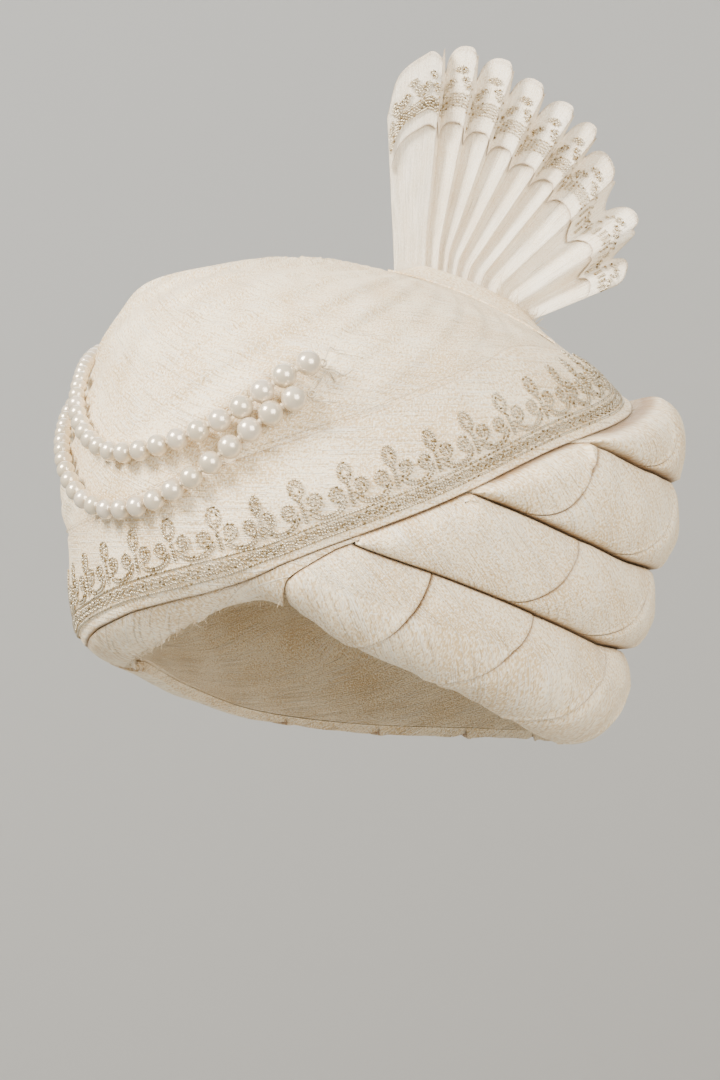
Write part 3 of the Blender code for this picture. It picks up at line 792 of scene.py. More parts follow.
def zari_thread(name, silver, gold, tarnish):
    """Zari, flattened gilt wire wound on a silk core and couched down: each stitch glints by itself. Every
    other stitch is darker, partly as older, tarnished wire and partly as painted shade for the dark gaps
    between stitches."""
    made, tree = new_material(name)
    tone = add(tree, "Attribute", {"attribute_name": "tone"}, out="Fac")
    shown = add(tree, "ValToRGB", Fac=tone)
    stops = shown.node.color_ramp.elements
    stops[0].color = opaque(tarnish)
    stops[1].color = opaque(silver)
    stops.new(0.16).color = opaque(gold)
    stops.new(0.45).color = opaque(silver)
    place = add(tree, "TexCoord", out="Object")
    # The wire's turns are 0.2 mm apart, and drawn 0.5 mm apart so that they show.
    wound = add(tree, "TexNoise", {"Scale": 1 / 0.0005, "Detail": 1.0}, Vector=place)
    wear_and_painted_shade = add(tree, "MapRange", {"To Min": 0.28, "To Max": 0.52}, Value=wound)
    raised = add(tree, "Bump", {"Strength": 0.6, "Distance": 0.00012}, Height=wound)
    return surfaced(made, {"Metallic": 0.85}, {"Base Color": shown, "Roughness": wear_and_painted_shade, "Normal": raised})


def shell_pearl(name, body, overtone):
    """Imitation pearl, a glass bead dipped in fish-scale lacquer: a satin body with a clear glossy skin, and
    a faint rosy overtone that shifts from bead to bead."""
    made, tree = new_material(name)
    tone = add(tree, "Attribute", {"attribute_name": "tone"}, out="Fac")
    place = add(tree, "TexCoord", out="Object")
    # The lacquer pools in soft patches about 5 mm across.
    pool = add(tree, "TexNoise", {"Scale": 1 / 0.005, "Detail": 1.0}, Vector=place)
    share = add(tree, "Math", {"operation": "MULTIPLY"}, i0=tone, i1=pool)
    colour = add(tree, "Mix", {"data_type": "RGBA", 6: opaque(body), 7: opaque(overtone)}, out=2, i0=share)
    # Dip ripples in the lacquer, 1.2 mm across.
    ripples = add(tree, "TexNoise", {"Scale": 1 / 0.0012, "Detail": 1.0}, Vector=place)
    raised = add(tree, "Bump", {"Strength": 0.12, "Distance": 0.0001}, Height=ripples)
    return surfaced(made, {"Roughness": 0.26, "Metallic": 0.35, "IOR": 1.60, "Coat Weight": 1.0,
                           "Coat Roughness": 0.04, "Coat IOR": 1.75, "Subsurface Weight": 0.10,
                           "Subsurface Radius": (0.003, 0.0022, 0.0015)},
                    {"Base Color": colour, "Normal": raised})


def spun_thread(name, light, shade):
    """Spun silk sewing thread: two plies twisted together, which gives a fine uneven rib."""
    made, tree = new_material(name)
    place = add(tree, "TexCoord", out="Object")
    # The plies cross every 0.6 mm.
    twist = add(tree, "TexNoise", {"Scale": 1 / 0.0006, "Detail": 1.0}, Vector=place)
    colour = add(tree, "Mix", {"data_type": "RGBA", 6: opaque(light), 7: opaque(shade)}, out=2, i0=twist)
    raised = add(tree, "Bump", {"Strength": 0.5, "Distance": 0.0001}, Height=twist)
    return surfaced(made, {"Roughness": 0.6, "Sheen Weight": 0.3}, {"Base Color": colour, "Normal": raised})


def painted_board(name, colour):
    """Matt emulsion on the studio's cove with a very faint roller texture: a pale grey, with painted shade
    that darkens it low down and to the right, as the light falls off there."""
    made, tree = new_material(name)
    place = add(tree, "TexCoord", out="Object")
    across = math.radians(VIEW_AZIMUTH)
    # Painted shade: the colour darkens along this way, low down and to the right, standing in for the light
    # falling off.
    fall_way = (0.55 * math.cos(across), 0.55 * math.sin(across), -0.8)
    fall = add(tree, "VectorMath", {"operation": "DOT_PRODUCT", 1: fall_way}, out="Value", i0=place)
    share = add(tree, "MapRange", {"From Min": -1.1, "From Max": 1.1}, Value=fall)
    darker = opaque(linear("#D3D1CC"))
    tone = add(tree, "Mix", {"data_type": "RGBA", 6: opaque(colour), 7: darker}, out=2, i0=share)
    # The roller leaves a stipple 2 mm across.
    stipple = add(tree, "TexNoise", {"Scale": 1 / 0.002, "Detail": 1.0}, Vector=place)
    raised = add(tree, "Bump", {"Strength": 0.05, "Distance": 0.0002}, Height=stipple)
    return surfaced(made, {"Roughness": 0.9}, {"Base Color": tone, "Normal": raised})


def stuff(name, make, *values):
    """The material of this name, made the first time that it is asked for."""
    return bpy.data.materials.get(name) or make(name, *values)


# Sizes and colours that a user would change

def length_setting(name, description, default, **limits):
    return FloatProperty(name=name, description=description, default=default, unit="LENGTH", **limits)


def colour_setting(name, description, code):
    return FloatVectorProperty(name=name, description=description, subtype="COLOR", default=linear(code))


class TurbanSizes(bpy.types.PropertyGroup):
    fold_depth: length_setting(
        "Crown fold depth", "How far the crown's swirling folds stand out", 0.0022, min=0.0, max=0.004)
    fold_turn: FloatProperty(
        name="Crown fold spacing", description="Degrees from one swirling fold to the next", default=12.0)
    fold_slant: FloatProperty(
        name="Crown fold slant", description="Degrees that a fold winds over the crown's height",
        default=83.7)
    dent_depth: length_setting(
        "Dents", "Depth of the soft dents in the padded cloth", 0.0005, min=0.0, max=0.002)
    tier_edge: length_setting("Tier edge", "Roundness of the tiers' long edges", 0.0017)
    seam_edge: length_setting(
        "Seam edge", "Roundness of the folded edges where two pieces of a tier meet", 0.0008)
    stitch_length: length_setting("Stitch length", "Length of one couched stitch of zari", 0.0016)
    stitch_width: length_setting("Stitch width", "Width of one couched stitch of zari", 0.00088)
    motif_pitch: length_setting("Motif spacing", "Distance from one flower of the border to the next", 0.0190)
    pearl_segments: IntProperty(
        name="Pearl segments", description="Sides of a pearl's mesh", default=24, min=12, max=48)


class TurbanColours(bpy.types.PropertyGroup):
    silk_light: colour_setting("Silk, light", "Ivory silk where it is cleanest", "#FFEECB")
    silk_shade: colour_setting("Silk, shade", "Ivory silk where it is darker with handling", "#DABC8B")
    fan_light: colour_setting("Fan silk, light", "The fan's whiter silk", "#FFF6E4")
    zari_silver: colour_setting("Zari, silver", "The bright wire of the embroidery", "#CDC2AA")
    zari_gold: colour_setting("Zari, gold", "The gilt wire of the embroidery", "#9E875C")
    # The dark end of the stitches' tones: tarnished wire, and painted shade for the gaps between stitches.
    zari_tarnish_and_gap_shade: colour_setting("Zari, tarnish", "The dull wire of the embroidery", "#352B1E")
    pearl: colour_setting("Pearl", "The pearls' cream body", "#D6C7A9")
    stage: colour_setting("Stage", "The pale studio cove", "#F0F0ED")


def sizes():
    return bpy.context.scene.turban_sizes


def colours():
    return bpy.context.scene.turban_colours


def ivory(name, slant):
    """The turban's ivory silk, with its weft laid at a slant in degrees."""
    colour = colours()
    return stuff(f"raw_silk_{name}", raw_silk, colour.silk_light[:], colour.silk_shade[:], slant)


def sewing_thread():
    return stuff("spun_silk_thread", spun_thread, linear("#EFE4CC"), linear("#BFA983"))


# The crown

def crown_fold(turn, rise, height):
    """How far the crown's lapped folds stand out. They run out from the fan's root, winding down round the
    crown, and each rises slowly and drops sharply to the next."""
    size = sizes()
    place = wall_point(turn, rise)
    aside = place[..., 0] - FOLD_CENTRE[0]
    ahead = FOLD_CENTRE[1] - place[..., 1]
    away_from_root = np.hypot(aside, ahead)
    start = smooth((height - crease_height(turn)) / 0.012)
    near = smooth((away_from_root - 0.014) / 0.05)
    winding = np.degrees(np.arctan2(aside, ahead)) - size.fold_slant * height / CROWN_TOP
    drift = 0.16 * ripple(place[..., 0], place[..., 1], 0.09, 21)
    phase = ((winding + 77.0) / size.fold_turn + drift) % 1.0
    lapped = np.where(phase < 0.82, smooth(phase / 0.82) ** 1.3, 1 - smooth((phase - 0.82) / 0.18))
    uneven = 0.80 + 0.40 * ripple(place[..., 0], place[..., 1], 0.06, 22)
    calmer = smooth((winding + 52.0) / 24.0) * (1 - smooth((winding - 60.0) / 30.0))
    uneven = uneven * blend(1.0, 0.25, calmer)
    return size.fold_depth * start * near * lapped * np.clip(uneven, 0.30, 1.3)


def crown_outer(u, v):
    """The crown's outside: the rolled rim, the wall under the band, and the folds up to the top."""
    turn = 360.0 * u + 180.0
    rolled = rim_height(turn) + RIM_GROUND + RIM_ROLL
    crease = crease_height(turn)
    banded = blend(rolled, crease, (v - CROWN_ROLLED) / (CROWN_BANDED - CROWN_ROLLED))
    climb = np.clip((v - CROWN_BANDED) / (1 - CROWN_BANDED), 0, 1)
    upper = blend(crease, CROWN_TOP, np.sin(math.pi / 2 * climb))
    height = np.where(v <= CROWN_BANDED, banded, upper)
    rise = np.where(v <= CROWN_ROLLED, RIM_ROLL * v / CROWN_ROLLED, rise_at(turn, height))
    shown = smooth((height - crease + 0.006) / 0.01)
    dents = 0.8 * sizes().dent_depth * shown * ripple(turn / 57.3 * MEAN_RADIUS, height, 0.035, 23)
    out = np.where(v <= CROWN_ROLLED, 0.0, crown_fold(turn, rise, height) + dents)
    points = wall(turn, rise, out)
    summit = oval(0.0, 0.0, 0.0, CROWN_TOP, section(CROWN_TOP)[1])
    return np.where((v >= 1.0 - 1e-9)[:, None], summit, points)


def crown_inner(u, v):
    """The lining of the hollow for the head."""
    turn = 360.0 * u + 180.0
    straight = 0.4
    base = rim_height(turn) + RIM_GROUND
    low = blend(base, HEAD_SIDE, v / straight)
    angle = math.pi / 2 * np.clip((v - straight) / (1 - straight), 0, 1)
    reach = np.where(v <= straight, 1.0, np.maximum(np.cos(angle), 0.0) ** (2 / HEAD_ROUNDNESS))
    reach = np.where(v >= 1.0 - 1e-9, 0.0, reach)
    dome = blend(HEAD_SIDE, HEAD_TOP, np.sin(angle) ** (2 / HEAD_ROUNDNESS))
    return oval(turn, HEAD_WIDTH / 2 * reach, HEAD_DEPTH / 2 * reach, np.where(v <= straight, low, dome))


class MakeCrown(bpy.types.Operator):
    """Make the wound crown with its swirling folds, replacing its solid"""
    bl_idname = "turban.make_crown"
    bl_label = "Crown"

    def execute(self, context):
        def chart(u, v):
            """The crown's cloth is 0.25 m long from its rim to its top."""
            return stack(around(360.0 * u), v * 0.25)

        silk = ivory("wound", 32.0)
        crown = cloth("crown_cloth", crown_outer, crown_inner, 320, 112, chart, silk, ring=True)
        belong(crown, "crown_silk", "crown")
        return {"FINISHED"}


# The band and its embroidery

def band_place(u, v):
    """Turn, height and stand-out of the band. Its hem is turned under and its crease tucked in."""
    turn = 360.0 * u + 180.0
    v = graded(v)
    height = blend(hem_height(turn), crease_height(turn), v)
    from_hem = height - hem_height(turn)
    out = band_face(turn, height) - LEAST_OUT * (1 - rounded(from_hem / LEAST_OUT))
    return turn, height, out


def band_outer(u, v):
    turn, height, out = band_place(u, v)
    return spot(turn, height, out)


def band_inner(u, v):
    turn, height, out = band_place(u, v)
    return spot(turn, height, np.minimum(BAND_SEAT, out - 0.0005))


class MakeBand(bpy.types.Operator):
    """Make the broad band of cloth round the crown, replacing its solid"""
    bl_idname = "turban.make_band"
    bl_label = "Band"

    def execute(self, context):
        def chart(u, v):
            turn, height, _ = band_place(u, v)
            return stack(around(turn), height)

        # Painted shade: brown along the turned hem and the upper crease, and faintly in a wider strip below
        # the crease.
        def wear_and_painted_shade(u, v):
            turn, height, _ = band_place(u, v)
            above = height - hem_height(turn)
            below = crease_height(turn) - height
            return 0.85 * hump(above, 0.0005) + 0.35 * hump(below, 0.0006) + 0.08 * hump(below, 0.003)

        band = cloth("band_cloth", band_outer, band_inner, 360, 60, chart, ivory("band", 0.0), True, wear_and_painted_shade)
        belong(band, "band_silk", "embroidered_band")
        return {"FINISHED"}


def curl(centre, radius, inner, start, turns, steps=26):
    """A spiral that winds in round its centre, as rows of along and up in millimetres."""
    share = np.linspace(0, 1, steps)
    angle = np.radians(start) + share * turns * 2 * math.pi
    size = blend(radius, inner, share ** 0.8)
    return stack(centre[0] + size * np.cos(angle), centre[1] + size * np.sin(angle))


def motif_strokes():
    """One flower of the border in millimetres: stem, bud, two curls and the swags to the next flower."""
    ring = np.linspace(0, 2 * math.pi, 30)
    swag = np.linspace(-1, 1, 22)
    return [
        np.array([(-0.3, 11.0), (-0.35, 14.0), (-0.2, 17.0), (0.0, 20.6)]),
        np.array([(0.7, 11.6), (0.65, 14.0), (0.55, 17.0), (0.6, 19.6)]),
        stack(0.1 + 2.6 * np.cos(ring), 24.6 + 3.9 * np.sin(ring)),
        stack(0.1 + 1.3 * np.cos(ring[::2]), 24.5 + 2.4 * np.sin(ring[::2])),
        curl((5.0, 18.3), 3.9, 0.5, -150.0, 2.1, 40),
        curl((-5.0, 17.8), 3.8, 0.5, 330.0, -2.1, 40),
        stack(9.5 + 6.4 * swag, 11.4 + 3.6 * np.abs(swag) ** 2.4),
        stack(9.5 + 7.7 * swag, 10.4 + 3.8 * np.abs(swag) ** 3.0),
    ]


# The straight rows under the flowers: height over the hem in millimetres, how far they zigzag, the
# zigzag's length, and the slant of their stitches in degrees.
BORDER_ROWS = (
    # height, zigzag, length, slant
    (3.7, 0.00, 1.0, 36.0),
    (5.2, 0.34, 4.2, -36.0),
    (6.4, 0.34, 4.2, 36.0),
    (7.6, 0.34, 4.2, -36.0),
    (9.2, 0.00, 1.0, 36.0),
)


def hem_route(steps=1440):
    """Close points along the band's hem, with turn, height, length so far and slope."""
    turn = np.linspace(-180.0, 180.0, steps + 1)
    height = hem_height(turn)
    points = spot(turn, height, 0.004)
    lengths = run_along(points)
    rise = np.gradient(height, lengths)
    return turn, height, lengths, np.arcsin(np.clip(rise, -1, 1))


def on_band(along, up, route, lift):
    """Points of the band's face at lengths along its hem and square to it, in metres."""
    turns, heights, lengths, slopes = route
    along = along % lengths[-1]
    slope = np.interp(along, lengths, slopes)
    turn = np.interp(along, lengths, turns)
    height = np.interp(along, lengths, heights)
    radius = np.linalg.norm(spot(turn, height)[..., :2], axis=-1)
    turn = turn - np.degrees(up * np.sin(slope) / radius)
    height = height + up * np.cos(slope)
    height = np.minimum(height, crease_height(turn) - 0.001)
    return spot(turn, height, band_face(turn, height) + lift)


def stitched(lines, place, name, material, lift=0.00050, slants=None):
    """Lay couched stitches along lines on a surface. The place function turns along and up into points."""
    size = sizes()
    pitch = size.stitch_length * 0.72
    spots = []
    for index, line in enumerate(lines):
        run = run_along(line)
        count = max(int(run[-1] / pitch), 1)
        where = (np.arange(count) + 0.5) * run[-1] / count
        middle = read_at(where, run, line)
        course = unit(read_at(where + pitch / 2, run, line) - read_at(where - pitch / 2, run, line))
        slant = math.radians(32.0 if slants is None else slants[index])
        turned = stack(course[:, 0] * math.cos(slant) - course[:, 1] * math.sin(slant),
                       course[:, 0] * math.sin(slant) + course[:, 1] * math.cos(slant))
        spots.append(np.hstack([middle, turned]))
    spots = np.vstack(spots)
    reach = 0.0006
    centres = place(spots[:, 0], spots[:, 1], lift)
    ahead = place(spots[:, 0] + spots[:, 2] * reach, spots[:, 1] + spots[:, 3] * reach, lift)
    above = place(spots[:, 0], spots[:, 1], lift + 0.001)
    chance = np.random.default_rng(len(spots))
    scale = stack(size.stitch_length * chance.uniform(0.85, 1.12, len(spots)),
                  size.stitch_width * chance.uniform(0.85, 1.15, len(spots)),
                  np.full(len(spots), size.stitch_width))
    return copies(name, bead(6, 4), centres, ahead - centres, above - centres, scale, material)


def zari():
    colour = colours()
    tones = (colour.zari_silver[:], colour.zari_gold[:], colour.zari_tarnish_and_gap_shade[:])
    return stuff("couched_zari", zari_thread, *tones)


class MakeEmbroidery(bpy.types.Operator):
    """Make the border's flowers and its straight rows out of couched stitches"""
    bl_idname = "turban.make_embroidery"
    bl_label = "Embroidery"

    def execute(self, context):
        route = hem_route()
        whole = route[2][-1]
        count = round(whole / sizes().motif_pitch)
        pitch = whole / count
        stretch = pitch / (19.0 * MILLIMETRE)

        def place(along, up, lift):
            return on_band(along, up, route, lift)

        strokes = motif_strokes()
        parts = (("band_flowers", strokes[:4]), ("band_curls", strokes[4:6]), ("band_swags", strokes[6:]))
        for name, chosen in parts:
            lines = []
            for index in range(count):
                for stroke in chosen:
                    lines.append(stack(index * pitch + stroke[:, 0] * MILLIMETRE * stretch,
                                       stroke[:, 1] * MILLIMETRE))
            belong(stitched(lines, place, name, zari()), "fan_zari")
        lines = []
        along = np.linspace(0, whole, 1400)
        for height, zigzag, length, _ in BORDER_ROWS:
            up = height + zigzag * np.sin(along / (length * MILLIMETRE) * 2 * math.pi)
            lines.append(stack(along, up * MILLIMETRE))
        rows = stitched(lines, place, "band_rows", zari(), slants=[row[3] for row in BORDER_ROWS])
        belong(rows, "fan_zari")
        return {"FINISHED"}


# The turned cloth over the rim

class MakeRoll(bpy.types.Operator):
    """Make the turned cloth over the rim with its frayed raw edge, replacing its solid"""
    bl_idname = "turban.make_roll"
    bl_label = "Rim roll"

    def execute(self, context):
        def place(u, v):
            turn = blend(ROLL_FIRST_TURN, ROLL_LAST_TURN, u)
            top = rise_at(turn, hem_height(turn) - 0.0003)
            return turn, blend(roll_end(turn), top, graded(v))

        def outer(u, v):
            turn, rise = place(u, v)
            dents = 0.7 * sizes().dent_depth * ripple(around(turn), rise, 0.02, 41)
            out = TIER_SEAT + (ROLL_THICK + dents) * grown(turn)
            return raw_edge(wall(turn, rise, out), turn, v)

        def inner(u, v):
            turn, rise = place(u, v)
            return raw_edge(wall(turn, rise, TIER_SEAT + ROLL_THICK * grown(turn) - 0.0012), turn, v)

        def grown(turn):
            """The roll thins out to nothing at its far end, where it slips under the crown's rim."""
            return 0.1 + 0.9 * smooth((turn - ROLL_FIRST_TURN) / 9.0)

        def raw_edge(points, turn, v):
            """The torn edge at the lip waves up and down by a millimetre or two."""
            near = (1 - smooth(v / 0.12)) * (1 - smooth((turn - PEAK_TURN + 6) / 4.0))
            along = around(turn, 0.1)
            wave = ripple(along, 0.0, 0.012, 42) + 0.5 * ripple(along, 0.0, 0.004, 43)
            points[..., 2] += near * 0.0015 * wave
            return points

        def chart(u, v):
            turn, rise = place(u, v)
            return stack(around(turn), rise)

        # Painted shade: brown just under the band's hem, where the roll goes beneath it, and a little along
        # the torn edge.
        def wear_and_painted_shade(u, v):
            turn, rise = place(u, v)
            below = rise_at(turn, hem_height(turn)) - rise
            torn = rise - roll_end(turn)
            return 0.55 * hump(below, 0.0006) + 0.05 * hump(below, 0.003) + 0.18 * hump(torn, 0.0010)

        roll = cloth("rim_roll_cloth", outer, inner, 240, 40, chart, ivory("roll", -18.0), False, wear_and_painted_shade)
        belong(roll, "roll_silk", "rim_roll")
        return {"FINISHED"}


# The plaited tiers

def tier_piece(tier, number, front, rear):
    """The two faces of one padded piece of a tier, its flat chart and its painted shade along its seams and
    long edges.
    """
    size = sizes()
    full = TIER_FULLNESS * TIERS[tier][1]
    under = TIER_FULLNESS * TIERS[max(tier - 1, 0)][1]
    last = tier_span(tier)[1]
    seed = 100 * tier + number

    def place(u, v):
        u = graded(u)
        drop = 1 - graded(v, 0.75)
        turn, rise, tall = tier_place(tier, front, rear, u, drop)
        return u, drop, turn, rise, tall

    def outer(u, v):
        u, drop, turn, rise, tall = place(u, v)
        growth = tier_growth(turn) * smooth((last - turn) / TIER_TAPER)
        bulge = 1 - np.sqrt(np.maximum(4 * drop * (1 - drop), 0.0))
        tucked = np.where(tier_room(turn, tier) < TIER_HEIGHT, TIER_TUCK, 0.6)
        notch = np.where(drop < 0.5, TIER_NOTCH * tucked, full - under + 0.6 * TIER_NOTCH)
        thick = np.maximum(full * growth - notch * growth * bulge, TIER_THIN * (1 - 0.4 * bulge))
        thick = thick + TIER_STEP * (0.5 - u)
        if tier == 0:
            thick = blend(ROLL_THICK, thick, smooth(rise / (1.4 * RIM_ROLL)))
        width = np.radians(seam_turn(*rear, drop) - seam_turn(*front, drop)) * (HALF_WIDTH + thick)
        from_front = u * width
        from_rear = (1 - u) * width
        across = np.minimum(from_front, from_rear)
        down = np.minimum(drop, 1 - drop) * tall
        if tier == 0:
            down = np.where(drop > 0.5, size.tier_edge, down)
        seam = rounded(across / size.seam_edge)
        edge = rounded(down / np.minimum(size.tier_edge, 0.3 * tall + WELD))
        calm = np.minimum(seam, edge)
        slack = np.minimum(1.0, thick / 0.010)
        thick = thick - SEAM_SINK * (1 - seam) - EDGE_SINK * (1 - edge) * slack
        thick = thick - FOOT_SINK * slack * hump(drop * tall, 0.0050)
        thick = thick - SEAM_SINK * hump(from_front, 0.0040)
        thick = thick + REAR_SWELL * hump(from_rear - 0.0014, 0.0020)
        thick = thick + size.dent_depth * calm * ripple(around(turn, TIER_RADIUS), rise, 0.022, seed)
        return wall(turn, rise, TIER_SEAT + np.maximum(thick, LEAST_OUT))

    def inner(u, v):
        _, _, turn, rise, _ = place(u, v)
        seat = TIER_SEAT if tier else blend(0.0003, TIER_SEAT, smooth(rise / RIM_ROLL))
        return wall(turn, rise, seat)

    def chart(u, v):
        _, _, turn, rise, _ = place(u, v)
        shift = 0.37 * seed
        return stack(around(turn, TIER_RADIUS) + shift, rise + shift)

    # Painted shade: brown along the piece's seams and long edges, where pieces and tiers meet, fading out
    # where the piece is short.
    def wear_and_painted_shade(u, v):
        u, drop, turn, rise, tall = place(u, v)
        width = np.radians(seam_turn(*rear, drop) - seam_turn(*front, drop)) * (HALF_WIDTH + 0.5 * full)
        across = np.minimum(u, 1 - u) * width
        down = np.where((tier == 0) & (drop > 0.5), 1.0, np.minimum(drop, 1 - drop) * tall)
        nearest = np.minimum(across, down)
        brown = 0.75 * hump(nearest, 0.0006) + 0.12 * hump(nearest, 0.0025)
        return brown * smooth((tall - 0.002) / 0.008)

    return outer, inner, chart, wear_and_painted_shade


class MakeTiers(bpy.types.Operator):
    """Make the plaited tiers of padded cloth under the band, each replacing its solid"""
    bl_idname = "turban.make_tiers"
    bl_label = "Tiers"

    def execute(self, context):
        for tier, (name, _, _) in enumerate(TIERS):
            ends = tier_seams(tier)
            if tier:
                # The first piece starts where the tier first shows, as a thin point under the hem.
                shown = np.arange(TIER_FIRST_TURN, HIGH_TURN)
                ends[0] = (shown[tier_room(shown, tier) >= 0.02 * TIER_HEIGHT][0], 0.0)
            silk = ivory(name, 38.0 + 4 * tier)
            for number, (front, rear) in enumerate(zip(ends, ends[1:]), start=1):
                outer, inner, chart, wear_and_painted_shade = tier_piece(tier, number, front, rear)
                piece = cloth(f"{name}_{number:02d}_cloth", outer, inner, 60, 44, chart, silk, False, wear_and_painted_shade)
                belong(piece, "tier_silk", f"{name}_{number:02d}")
        return {"FINISHED"}


# The pleated fan

RIDGE_COUNT = len(FAN_RIDGES)
PANEL_COUNT = len(FAN_PANEL)
FAN_STEPS = PANEL_COUNT + RIDGE_COUNT - 1


def fan_columns(place):
    """Tip, foot and fold of the fan's columns. Places up to PANEL_COUNT are its flat panel, and each
    whole number after that is a pleat's ridge. A pleat falls back in its narrow valley and comes forward
    over its flat face; the last pleats are broad waves. The tips are notched at the valleys."""
    panel = [(index, *row) for index, row in enumerate(FAN_PANEL)]
    ridges = []
    for index, (lean, reach, foot_side, foot_height) in enumerate(FAN_RIDGES):
        angle = math.radians(lean)
        tip = (reach * math.sin(angle), reach * math.cos(angle))
        ridges.append((PANEL_COUNT + index, *tip, foot_side, foot_height))
    rows = panel + ridges
    pleated = place > PANEL_COUNT
    share = np.where(pleated, (place - PANEL_COUNT) % 1.0, 0.0)
    share = np.where(pleated & (share < 1e-9), 1.0, share)
    broad = smooth((place - PANEL_COUNT - 5.7) / 0.8)
    valley = blend(0.13, 0.42, broad)
    folded = share < valley
    back = share / valley
    forth = np.clip((share - valley) / (1 - valley), 0, 1)
    rising = blend(forth ** 0.8, np.sin(math.pi / 2 * forth), broad)
    depth = np.where(folded, 1 - 2 * blend(back, smooth(back), broad), -1 + 2 * rising)
    depth = np.where(pleated, depth, blend(0.3, 1.0, smooth(place / PANEL_COUNT)))
    climb = np.clip(1 - (1 - np.clip(forth / 0.7, 0, 1)) ** 2.2, 0, 1)
    notch = np.where(folded, smooth(back), 1 - np.sqrt(climb))
    notch = np.where(pleated, notch, 0.0)
    corner = np.where(pleated & ~folded, np.clip((forth - 0.78) / 0.22, 0, 1) ** 2, 0.0)
    corner = np.where(pleated & folded, 1 - smooth(back / 0.3), corner)
    tip_side, tip_height, foot_side, foot_height = (between(rows, place, column) for column in range(1, 5))
    reach = 1.035 - 0.11 * notch - 0.03 * corner
    last_part = np.clip((place - 2.3) / (PANEL_COUNT - 2.3), 0, 1)
    reach = np.where(pleated, reach, 1.01 - 0.04 * last_part ** 2)
    return tip_side * reach, tip_height * reach, foot_side, foot_height, depth


def fan_spot(place, share, forward=0.0):
    """A point on the fan's front by its column and its share of the way from foot to tip."""
    tip_side, tip_height, foot_side, foot_height, depth = fan_columns(place)
    side = FAN_RADIUS * blend(foot_side, tip_side, share)
    height = FAN_RADIUS * blend(foot_height, tip_height, share)
    opening = blend(PLEAT_FOOT + 0.12, 1.0, share ** 0.8)
    curved = 1.0 - 0.25 * smooth((share - 0.85) / 0.15)
    ahead = depth * PLEAT_DEPTH / 2 * opening * curved + forward
    point = fan_point(side, height, ahead)
    foot = crown_height_at(point[..., 0], point[..., 1]) + 0.0005
    near = 1 - smooth(share / 0.12)
    seated = np.maximum(blend(point[..., 2], foot, near), foot)
    point[..., 2] = np.where(share < 0.12, seated, point[..., 2])
    return point


def fan_layer(name, first, last, near, far, rows, silk, cuff=0.0):
    """One layer of the fan's cloth between two shares of its length, with painted brown shade along a cuff's
    edge.
    """
    def lay(u, v, forward):
        return fan_spot(u * FAN_STEPS, blend(first, last, v), forward)

    def chart(u, v):
        return stack(u * 0.34, blend(first, last, v) * FAN_RADIUS)

    # Painted shade: brown along the pleats' folds and along the cuff's lower edge; the tips are a little
    # browner too.
    def wear_and_painted_shade(u, v):
        length = FAN_RADIUS * (last - first)
        column = np.abs(u * FAN_STEPS - np.maximum(np.round(u * FAN_STEPS), PANEL_COUNT))
        tips = 0.3 * hump((1 - v) * length, 0.0015)
        return 0.22 * hump(column, 0.035) + cuff * hump(v * length, 0.0007) + tips

    return cloth(name, lambda u, v: lay(u, v, near), lambda u, v: lay(u, v, far), FAN_STEPS * 28, rows, chart,
                 silk, False, wear_and_painted_shade)


class MakeFan(bpy.types.Operator):
    """Make the pleated fan, its facing, its embroidery and the lip of cloth at its root"""
    bl_idname = "turban.make_fan"
    bl_label = "Fan"

    def execute(self, context):
        silk = stuff("raw_silk_fan", raw_silk, colours().fan_light[:], linear("#EEDDBF"), 90.0, 0.7)
        leaf = fan_layer("fan_cloth", 0.0, 1.0, 0.0, -FAN_THICK, 70, silk)
        belong(leaf, "fan_silk", "fan_leaf")
        # The cut is a wedge. Its area is read off the made cloth, so it can't show whether that is stretched.
        face_area(leaf) / 2
        facing = fan_layer("fan_facing", FACING_FIRST, FACING_LAST, FACING_OUT, 0.0007, 40, silk, 0.75)
        belong(facing, "fan_silk", "fan_border")
        face_area(facing) / 2
        lines = []
        slants = []
        for row in range(5):
            along = np.linspace(0.12, FAN_STEPS - 0.1, 600)
            lines.append(stack(along * FAN_COLUMN, (0.728 + 0.0138 * row) * FAN_RADIUS))
            slants.append(-32.0 if row % 2 else 32.0)
        swag = np.linspace(-1, 1, 16)
        # Three curls and a swag on every pleat, in millimetres.
        for ridge in range(FAN_STEPS):
            middle = (ridge + 0.60) * FAN_COLUMN / MILLIMETRE
            strokes = [curl((middle - 2.6, 100.0), 2.5, 0.4, -90.0, -1.9, 26),
                       curl((middle + 2.6, 100.4), 2.5, 0.4, -90.0, 1.9, 26),
                       curl((middle + 0.1, 106.0), 2.2, 0.3, -90.0, 2.0, 24),
                       stack(middle + 5.0 + 3.4 * swag, 95.6 + 2.4 * np.abs(swag) ** 2.2)]
            for stroke in strokes:
                lines.append(stroke * MILLIMETRE)
                slants.append(30.0)

        def place(along, up, lift):
            column = np.clip(along / FAN_COLUMN, 0.02, FAN_STEPS - 0.02)
            return fan_spot(column, up / FAN_RADIUS, FACING_OUT + lift)

        work = stitched(lines, place, "fan_embroidery", zari(), 0.0010, slants)
        belong(work, "fan_zari")
        make_lip(ivory("wound", 32.0))
        return {"FINISHED"}


def face_area(piece):
    """The area of all faces of a piece, which is twice that of one side of a thin sheet."""
    return sum(face.area for face in piece.data.polygons)


